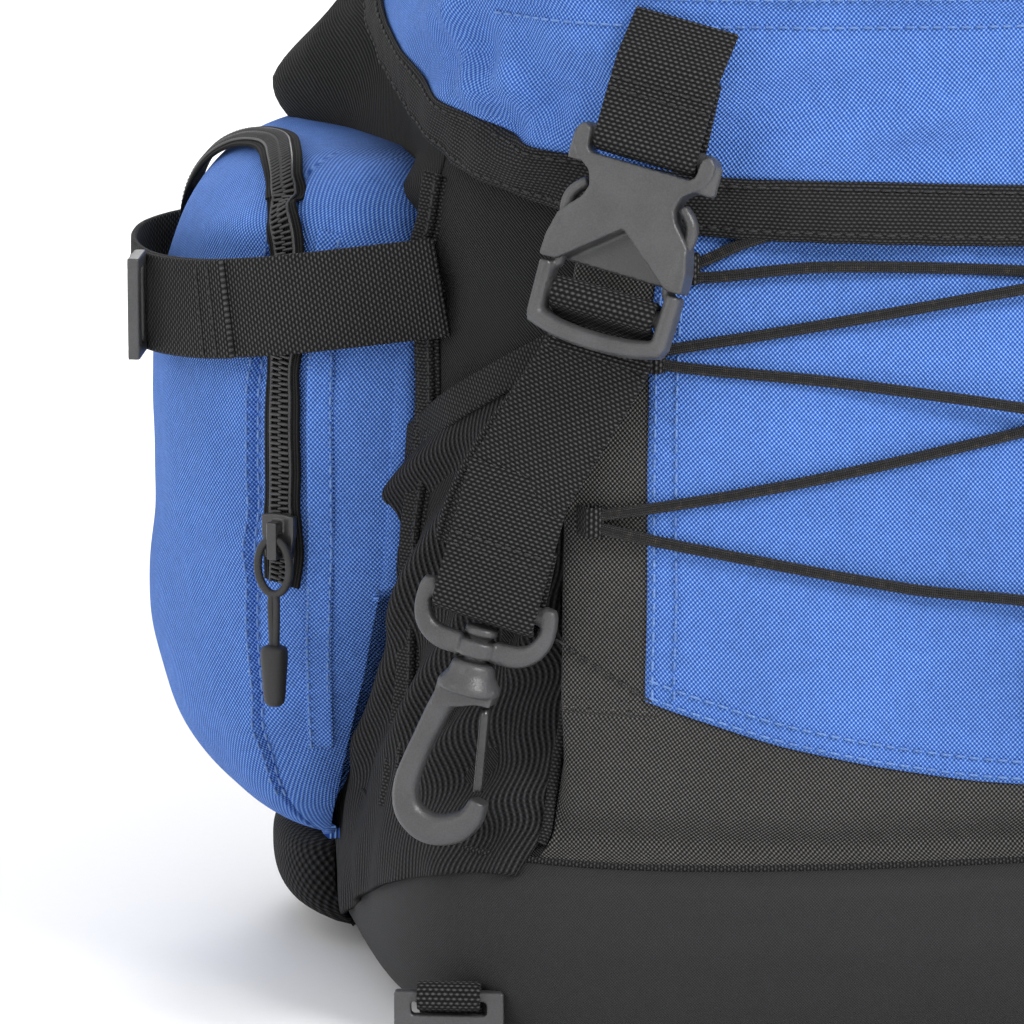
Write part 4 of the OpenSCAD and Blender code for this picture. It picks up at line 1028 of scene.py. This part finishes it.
for side, mirror in (("left", False), ("right", True)):
    strap = Heap().add(belt([(-.5, 41), (1.6, 30)] + arc(0, TOP_BAR, WRAP_R, 0, -180, 12) + [(-3.2, 32), (-2.8, 42), (2, 53)]),
                       mirror, buckle_frame)
    put(strap.make("lid_webbing_" + side, WEB), "lid", "webbing", *(["lid_straps"] if side == "left" else []))
    for dz in (34, 36.5):
        cross = [np.array(buckle_frame @ Vector((x, -4.0 + (dz - 32) * .04, dz))) for x in np.linspace(-11.5, 11.5, 12)]
        stitch_line(stitches["lid"], cross, np.array(buckle_frame.to_3x3() @ Vector((0, -1, 0))), 2.4, mirror=mirror)
    half = [(0, 3.8), (-13.6, -7), (-17.5, -7), (-17.3, -3), (-16, 3.6), (-11.4, 8.6), (-10.4, 11.4), (-11.4, 14.4),
            (-15.4, 17.4), (-17, 20), (-17, 23.5), (-15.5, 25), (-13.6, 24), (-13.2, 19.4), (-12, 18.6)]
    outline = half + [(-x, z) for x, z in half[:0:-1]]
    parts = [prism(outline, 7.4), rod((-16, 0, TOP_BAR), (16, 0, TOP_BAR), 2.1),
             prism([(-12.4, -6.8), (12.4, -6.8), (6, 3), (-6, 3)], 1.5, 3.0)]
    for sx in (-1, 1):
        parts.append(rod((sx * 15.6, 0, 23), (sx * 15.6, 0, 16), 2.6))
        parts.append(prism([(sx * 17.3, -7), (sx * 17.3, -2), (sx * 16.2, 2), (sx * 14.6, 2), (sx * 14.6, -7)], 8.2))
    put(moulded("buckle_socket_" + side, parts, .5, 7, PLASTIC, buckle_frame, mirror), "lid", "black_plastic",
        "buckle_female_" + side)
    rail = smooth_route([(-16, 0, -20.2), (-9, -.4, -22), (0, -.6, -22.6), (9, -.4, -22), (16, 0, -20.2)], 1.0)
    parts = [sweep(rings(rail, 4.4, 7.6, (0, -1.0, 0), 2.6, 16)), rod((-14.6, 0, LOW_BAR), (14.6, 0, LOW_BAR), 2.0)]
    for sx in (-1, 1):
        parts.append(sweep(rings(np.linspace((sx * 15.5, 0, -7.8), (sx * 15.2, 0, -20.6), 10), 4.0, 7.6, (0, -1.0, 0), 3.0, 16)))
        prong = smooth_route([(sx * 13.8, 0, -8.6), (sx * 13.2, 0, -2), (sx * 15.2, 0, 5), (sx * 14.6, 0, 9), (sx * 11.6, 0, 12)], .8)
        parts.append(sweep(rings(prong, 2.9, 4.2, (0, -1.0, 0), 2.6, 12)))
    put(moulded("buckle_plug_" + side, parts, .5, 5, PLASTIC, buckle_frame, mirror), "male_" + side, "black_plastic",
        "buckle_male_" + side)
    tail = Heap()
    tail.add(belt([(5.6, LOW_BAR - 1), (4.4, LOW_BAR + 1)] + arc(0, LOW_BAR, WRAP_R, 45, 230, 12)
                  + [(5.5, LOW_BAR - 5.6), (6.3, LOW_BAR - 11), (6.3, LOW_BAR - 13)]), mirror, buckle_frame)
    tail.add(belt([(0, 1.5), (.5, -12), (.3, -28), (0, -TAIL_RUN - 1)]), mirror, tail_frame)
    tail.add(belt([(-.1, 3), (-.4, -4), (-2.8, 8 - END_RUN)] + arc(0, -END_RUN, 4.1, 180, 360, 12)
                  + [(3.4, 6 - END_RUN), (1.9, 16 - END_RUN)]), mirror, end_frame)
    put(tail.make("tail_webbing_" + side, WEB), "male_" + side, "webbing", "tail_strap_" + side)
    tack = Heap()
    for dz in (12.5, 15.5):
        cross = [np.array(end_frame @ Vector((x, -2.6, dz - END_RUN))) for x in np.linspace(-11, 11, 12)]
        stitch_line(tack, cross, np.array(end_frame.to_3x3() @ Vector((0, -1, 0))), 2.4, mirror=mirror)
    put(tack.make("tail_stitching_" + side, THREAD), "male_" + side, "webbing")
    # swivel loop: C-shaped bow closed by the post's boss
    bow = []
    for s in (-1, 1):
        half = [(s * 13.6, 0, .6), (s * 14.8, 0, 1.2), (s * 15.3, 0, -2), (s * 14.9, 0, -5.6), (s * 13, 0, -8.8), (s * 9.6, 0, -10.6), (s * 4, 0, -11)]
        path = smooth_route(half, .8)
        wide = np.interp(np.linspace(0, 1, len(path)), [0, .3, .6, .8, 1], [3.6, 3.9, 4.8, 5.6, 5.4])
        bow.append(sweep(rings(path, wide, 4.4, (0, -1.0, 0), 3.0, 14)))
        bow.append(rod((s * 14.6, 0, 1.2), (s * 14.6, 0, -2), 2.2))
    bow += [rod((-15.4, 0, 0), (15.4, 0, 0), 2.1), lathe([(.5, -13), (4.6, -13), (5, -12.4), (5, -9.6), (4.6, -9), (.5, -9)])]
    put(moulded("swivel_bow_" + side, bow, .42, 3, PLASTIC, hook_frame, mirror), "ring_" + side, "black_plastic",
        "swivel_loop_" + side)
    z0 = -13.4
    hook = [lathe([(.3, z0 + 7.6), (3.4, z0 + 7.6), (4.0, z0 + 7.2), (4.0, z0 + 5.9), (3.4, z0 + 5.5), (2.5, z0 + 5.4), (2.5, z0 - 1.5), (.3, z0 - 1.5)]),
            lathe([(.3, z0 - .7), (4.4, z0 - .8), (5.2, z0 - 1.6), (5.6, z0 - 3.6), (7.4, z0 - 6.4), (7.6, z0 - 7.6), (6.9, z0 - 8.4), (.3, z0 - 8.6)])]
    spine = [(-1.2, 0, -7), (-4.6, 0, -11), (-6.8, 0, -19), (-8.4, 0, -27), (-9.0, 0, -34), (-6.8, 0, -39.6),
             (-1.6, 0, -42.2), (4, 0, -41), (7.8, 0, -37.4), (8.9, 0, -32.6)]
    path = smooth_route([(x, y, z + z0) for x, y, z in spine], .8)
    wide = np.interp(np.linspace(0, 1, len(path)), [0, .12, .3, .5, .7, .85, 1], [8, 6, 5.4, 6.0, 7.6, 7.4, 4.4])
    hook.append(sweep(rings(path, wide, 6.6, (0, -1.0, 0), 2.6, 16)))
    hook.append(prism([(-7, z0 - 6), (7, z0 - 6), (6.6, z0 - 10.2), (3.2, z0 - 10.4), (-1.6, z0 - 12.2), (-7.2, z0 - 13)], 6.4))
    put(moulded("snap_hook_body_" + side, hook, .42, 4, PLASTIC, hook_frame, mirror), "hook_" + side, "black_plastic",
        "snap_hook_" + side)
    gate = Heap()
    gate.add(sweep(rings(np.linspace((5.2, 0, z0 - 11.2), (8.1, 0, z0 - 30.6), 12), 2.3, 3.4, (0, -1.0, 0), 2.6, 12)),
             mirror, hook_frame)
    put(gate.make("gate_spring_bar_" + side, GLOSS), "gate_" + side, "black_plastic", "hook_gate_" + side)

anchors = Heap()
tabs = Heap()
for mirror in (False, True):
    path = smooth_route([(-119, -97, 172), (-127, -88, 160), (-135, -76, 146), (-141, -66, 132), (-144, -60, 120)], 1.5)
    path = path + np.array([4.5, -4.5, 0]) * np.linspace(.2, 1, len(path))[:, None]
    anchors.add(ribbon_parts(path, 13, 1.6, (-1, -1.3, .3)), mirror)
    side_way = np.cross(tangents(path), np.array([-1, -1.3, .3]) / 1.67)
    for q in (-6.2, 6.2):
        anchors.add(tube_parts(path + side_way * q, 1.3, 8), mirror)
put(anchors.make("anchor_webbing", WEB), "pack", "webbing", "anchor_straps")

STRAP = [(-141, -48, 180), (-152, -42, 178), (-167, -33, 175), (-181, -22, 172), (-193, -4, 169), (-201, 20, 167),
         (-202.5, 44, 167), (-196, 68, 167), (-180, 86, 167), (-156, 92, 167), (-140, 92, 167)]
for side, mirror in (("left", False), ("right", True)):
    path = smooth_route(STRAP, 1.5)
    face = np.stack([path[:, 0] + 140, path[:, 1] - 27, 0 * path[:, 0]], -1)
    face /= np.linalg.norm(face, axis=1, keepdims=True)
    heap = Heap().add(ribbon_parts(path + face * .8, 24, 1.6, face), mirror)
    k = len(path)
    fold = path[int(k * .27):int(k * .47)]
    fface = face[int(k * .27):int(k * .47)]
    heap.add(ribbon_parts(fold + fface * 2.5, 24, 1.5, fface), mirror)
    put(heap.make("compression_webbing_" + side, WEB), "pack", "webbing", "compression_strap_" + side)
    for f in (3, 6):
        across = np.cross(tangents(fold), fface)
        c = fold[f] + fface[f] * 3.3
        stitch_line(stitches["pack"], [c + across[f] * q for q in np.linspace(-11, 11, 12)], fface[f], 2.4, mirror=mirror)
    lock_frame = frame_at((-203, 12, 155), (0, 0, -14))
    put(moulded("strap_slide_" + side, [
        block((-4.6, -9, 0), (-1.6, 5, 3)), block((-4.6, -9, 22), (-1.6, 5, 25)), block((-4.6, -9, 0), (-1.8, -6.4, 25)),
        block((-4.6, 2.4, 0), (-1.8, 5, 25)), block((-4.8, -3.4, 0), (-2.2, -.8, 25))], .5, 3, PLASTIC, lock_frame, mirror),
        "pack", "black_plastic")

# ---- lash straps ----
lashes = Heap()
for mirror in (False, True):
    lash_frame = frame_at((-143, -74, 0), (0, 0, -14))
    lashes.add(belt([(40, 1), (16, 1), (4, 4), (-3.2, 10.4), (-5, 14)] + arc(-8.6, 15.7, 3, 0, 245, 10), 15, 1.2), mirror,
               lash_frame)
put(lashes.make("lash_webbing", WEB), "pack", "webbing", "lash_straps")
for side, mirror in (("left", False), ("right", True)):
    at = lash_frame @ Matrix.Translation((0, -8.6, 9))
    put(moulded("lash_slide_" + side, [
        block((-13, -1.6, -7), (13, 1.6, -4.4)), block((-13, -1.6, 5.6), (13, 1.6, 8)),
        block((-13, -1.6, -1.8), (13, 1.6, 2.2)), block((-13, -1.6, -7), (-9, 1.6, 8)), block((9, -1.6, -7), (13, 1.6, 8))],
        .45, 3, PLASTIC, at, mirror), "lash_" + side, "black_plastic", "lash_lock_" + side)

# ---- harness ----


def pad_grid(fn, a0, a1, na, z0, z1, nz, thick, power=3.0, channels=0):
    """Outer grid of a crowned pad, whose edges come down to its backing."""
    u, v = grid(-1, 1, na, -1, 1, nz)
    crown = (np.maximum(1 - np.abs(u) ** power, 0) ** .5) * (np.maximum(1 - np.abs(v) ** (power * 1.6), 0) ** .5)
    if channels:
        crown = crown * (1 - .35 * np.exp(-((np.abs(((v + 1) / 2 * channels) % 1 - .5) - .5) / .06) ** 2))
    a = (a0 + a1) / 2 + u * (a1 - a0) / 2
    z = (z0 + z1) / 2 + v * (z1 - z0) / 2
    return fn(a, z, .8 + thick * crown)


pads = [("back_pad_left", 171, 143, 84, 274, 10, 4), ("back_pad_right", 189, 217, 84, 274, 10, 4),
        ("lumbar_pad_low", 146, 214, 22, 44, 10, 0), ("lumbar_pad_high", 146, 214, 52, 78, 12, 0)]
for name, a0, a1, z0, z1, thick, channels in pads:
    p = pad_grid(body, a0, a1, 60, z0, z1, 90 if channels else 30, thick, channels=channels)
    part = shell(name, p, 1.5, MESH, centre=(0, 0, 150))
    put(part, "pack", "mesh_fabric", *(["back_pads"] if name == "back_pad_left" else []))
for side, s in (("left", -1), ("right", 1)):
    u, v = grid(0, 1, 70, -1, 1, 26)
    top = 46 - 16 * np.minimum(2.2 * u, 1)
    z = 6 + (top - 6) * (v + 1) / 2
    crown = np.maximum(1 - np.abs(v) ** 4, 0) ** .5 * np.maximum(1 - np.abs(2 * u - 1) ** 8, 0) ** .5
    part = shell("hip_wing_pad_" + side, body(s * (143 - 47 * u), z, 2 + 12 * crown), 1.5, MESH, centre=(0, 0, 25))
    put(part, "pack", "mesh_fabric", "hip_wing_" + side)

SHOULDER = [(-54, 102, 284), (-56, 117, 287), (-62, 128, 275), (-70, 132, 250), (-80, 132, 210), (-91, 130, 170), (-100, 126, 136)]
for side, mirror in (("left", False), ("right", True)):
    path = smooth_route(SHOULDER, 2.0)
    f = np.stack([0 * path[:, 0], path[:, 1] - 108, np.maximum(path[:, 2] - 250, 0)], -1)
    f /= np.linalg.norm(f, axis=1, keepdims=True)
    d = tangents(path)
    n = f - np.sum(f * d, 1, keepdims=True) * d
    n /= np.linalg.norm(n, axis=1, keepdims=True)
    t = np.linspace(0, 1, len(path))
    wide = 58 - 16 * t ** 2
    ends = np.clip(np.minimum(t, 1 - t) * 30, .25, 1) ** .5
    sec = rings(path + n * 4.5, wide, 8.8 * ends, f, 3.0, 28)
    verts, faces, uvs = sweep(sec)
    part = Heap().add((verts, faces, uvs), mirror).make("shoulder_pad_" + side, MESH)
    put(part, "pack", "mesh_fabric", "shoulder_strap_" + side)
    trimmed = Heap()
    s = np.cross(d, n)
    for q in (-1, 1):
        rimline = path + n * 4.5 + s * (q * (wide / 2 - .6))[:, None]
        trimmed.add(tube_parts(rimline, 2.0, 8), mirror)
    put(trimmed.make("shoulder_binding_" + side, HEM), "pack", "webbing")
    at = frame_at((-101.5, 131, 123.5), (0, -14, 0))
    bars = [block((-17, -1.6, z), (17, 1.8, z + 2.4)) for z in (-.6, -8, -16, -24)]
    put(moulded("ladder_lock_" + side, bars + [block((-17, -1.6, -24), (-13.2, 1.8, 2)), block((13.2, -1.6, -24), (17, 1.8, 2)),
        block((-17, .6, -24), (17, 3.0, -20.5))], .5, 3, PLASTIC, at, mirror), "ladder_" + side, "black_plastic",
        "shoulder_lock_" + side)
webs = Heap()
for mirror in (False, True):
    webs.add(ribbon_parts(smooth_route([(-107, 126, 100), (-112, 124, 84), (-117, 112, 62), (-119, 99, 50)]), WEB_W, WEB_T,
                          (0, 1.0, .2)), mirror)
put(webs.make("shoulder_webbing_low", WEB), "pack", "webbing", "shoulder_webbing")


def clip_pair(tag, y, z, size, fem, male, web, female_node, male_node, male_body):
    h = size / 2
    put(moulded(tag + "_socket", [block((fem[0], y, z - h), (fem[1] - size * .3, y + fem[2], z + h)),
        block((fem[1] - size * .4, y, z - h), (fem[1], y + fem[2], z - h + 2.2)),
        block((fem[1] - size * .4, y, z + h - 2.2), (fem[1], y + fem[2], z + h)),
        block((fem[0], y, z - h), (fem[1], y + 1.5, z + h)), block((fem[0], y + fem[2] - 1.5, z - h), (fem[1] - 2, y + fem[2], z + h))],
        .5, 4, PLASTIC), "pack", "black_plastic", female_node)
    put(moulded(tag + "_plug", [block((male[0], y, z - h), (male[1], y + fem[2], z + h)),
        block((male[0] - male[2], y + fem[2] / 2 - 1, z + h * .4), (male[0] + 1, y + fem[2] / 2 + 1, z + h * .75)),
        block((male[0] - male[2], y + fem[2] / 2 - 1, z - h * .75), (male[0] + 1, y + fem[2] / 2 + 1, z - h * .4))],
        .5, 4, PLASTIC), male_body, "black_plastic", male_node)
    strap_y = y + fem[2] * .45
    left = Heap().add(ribbon_parts(np.linspace((web[0], strap_y, z), (fem[0] + 1, strap_y, z), 20), web[2], 1.5, (0, 1.0, 0)))
    put(left.make(tag + "_webbing_socket", WEB), "pack", "webbing")
    right = Heap().add(ribbon_parts(np.linspace((male[1] - 1, strap_y, z), (web[1], strap_y, z), 20), web[2], 1.5, (0, 1.0, 0)))
    put(right.make(tag + "_webbing_plug", WEB), male_body, "webbing")


clip_pair("chest_clip", 141, 236, 14, (-30, -8, 6), (-7.4, 8.6, 12), (-74, 74, 10), "sternum_female", "sternum_male", "chest_clip")
clip_pair("hip_clip", 113.6, 25, 34, (-42, -8, 9), (-7.4, 18.6, 18), (-72, 72.6, 24), "hip_female", "hip_male", "hip_clip")
haul = smooth_route([(-13, 99.4, 306), (-15, 104, 300), (-16, 112, 288), (-13, 119, 268), (0, 122, 258), (13, 119, 268),
                     (16, 112, 288), (15, 104, 300), (13, 99.4, 306)])
put(Heap().add(ribbon_parts(haul, 14, 2.4, (0, .9, .45))).make("haul_webbing", WEB), "pack", "webbing", "haul_loop")

# ---- lid ----
angs = np.linspace(-180, 180, 401)
rows = []
for v in np.linspace(0, 1, 120) ** .9:
    low = hem_height(angs) + HEM_W * .4
    rows.append(lid(angs, low + (LID_TOP - low) * math.sin(v * math.pi / 2)))
crown = rows[-1]
for s in (.9, .75, .55, .35, .15, .02):
    p = crown * (s, s, 1)
    p[:, 1] += (1 - s) * 12
    p[:, 2] += 1.2 * (1 - s * s)
    rows.append(p)
put(shell("lid_cloth", np.array(rows), 1.6, BLUE, wrap=True), "lid", "blue_fabric", "lid_shell")
binding = [(0.6, 14.4), (1.1, 13.8), (1.2, 8), (1.2, 3), (1.0, .8), (.2, -.2), (-1.2, -.3), (-2.6, .6), (-3.0, 3), (-3.0, 10)]
rows = [lid(angs, hem_height(angs) + h, o) for o, h in binding]
put(shell("lid_binding", np.array(rows[::-1]), .5, HEM, wrap=True), "lid", "webbing", "lid_hem")
for h in (2.2, 12.6):
    stitch_line(stitches["lid"], lid(angs, hem_height(angs) + h, 1.3), (0, -.3, 0), 3.2)
for h in (248.2, 254.6):
    a = np.linspace(-62, 62, 160)
    stitch_line(blue_stitches["lid"], lid(a, np.full(160, h), .2), (0, -1, 0), 3.2)

for where in ("pack", "lid"):
    put(stitches[where].make("stitching_" + where, THREAD), where, "webbing")
    put(blue_stitches[where].make("blue_stitching_" + where, BLUE_THREAD), where, "blue_fabric")

# ---- floor ----
floor_paint = Paint("floor_paper", 0.9, specular=0.2)
floor = make("floor", [(-2500, -2500, -.5), (2500, -2500, -.5), (2500, 2500, -.5), (-2500, 2500, -.5)], [[0, 1, 2, 3]],
             floor_paint.finish(floor_paint.shade(floor_paint.ramp(floor_paint.noise(900.0, 1.0), [(0, (.94, .94, .945)), (1, (.96, .96, .96))]),
                                                  floor_paint.noise(3.0, 2.0), .99, 1.0)))
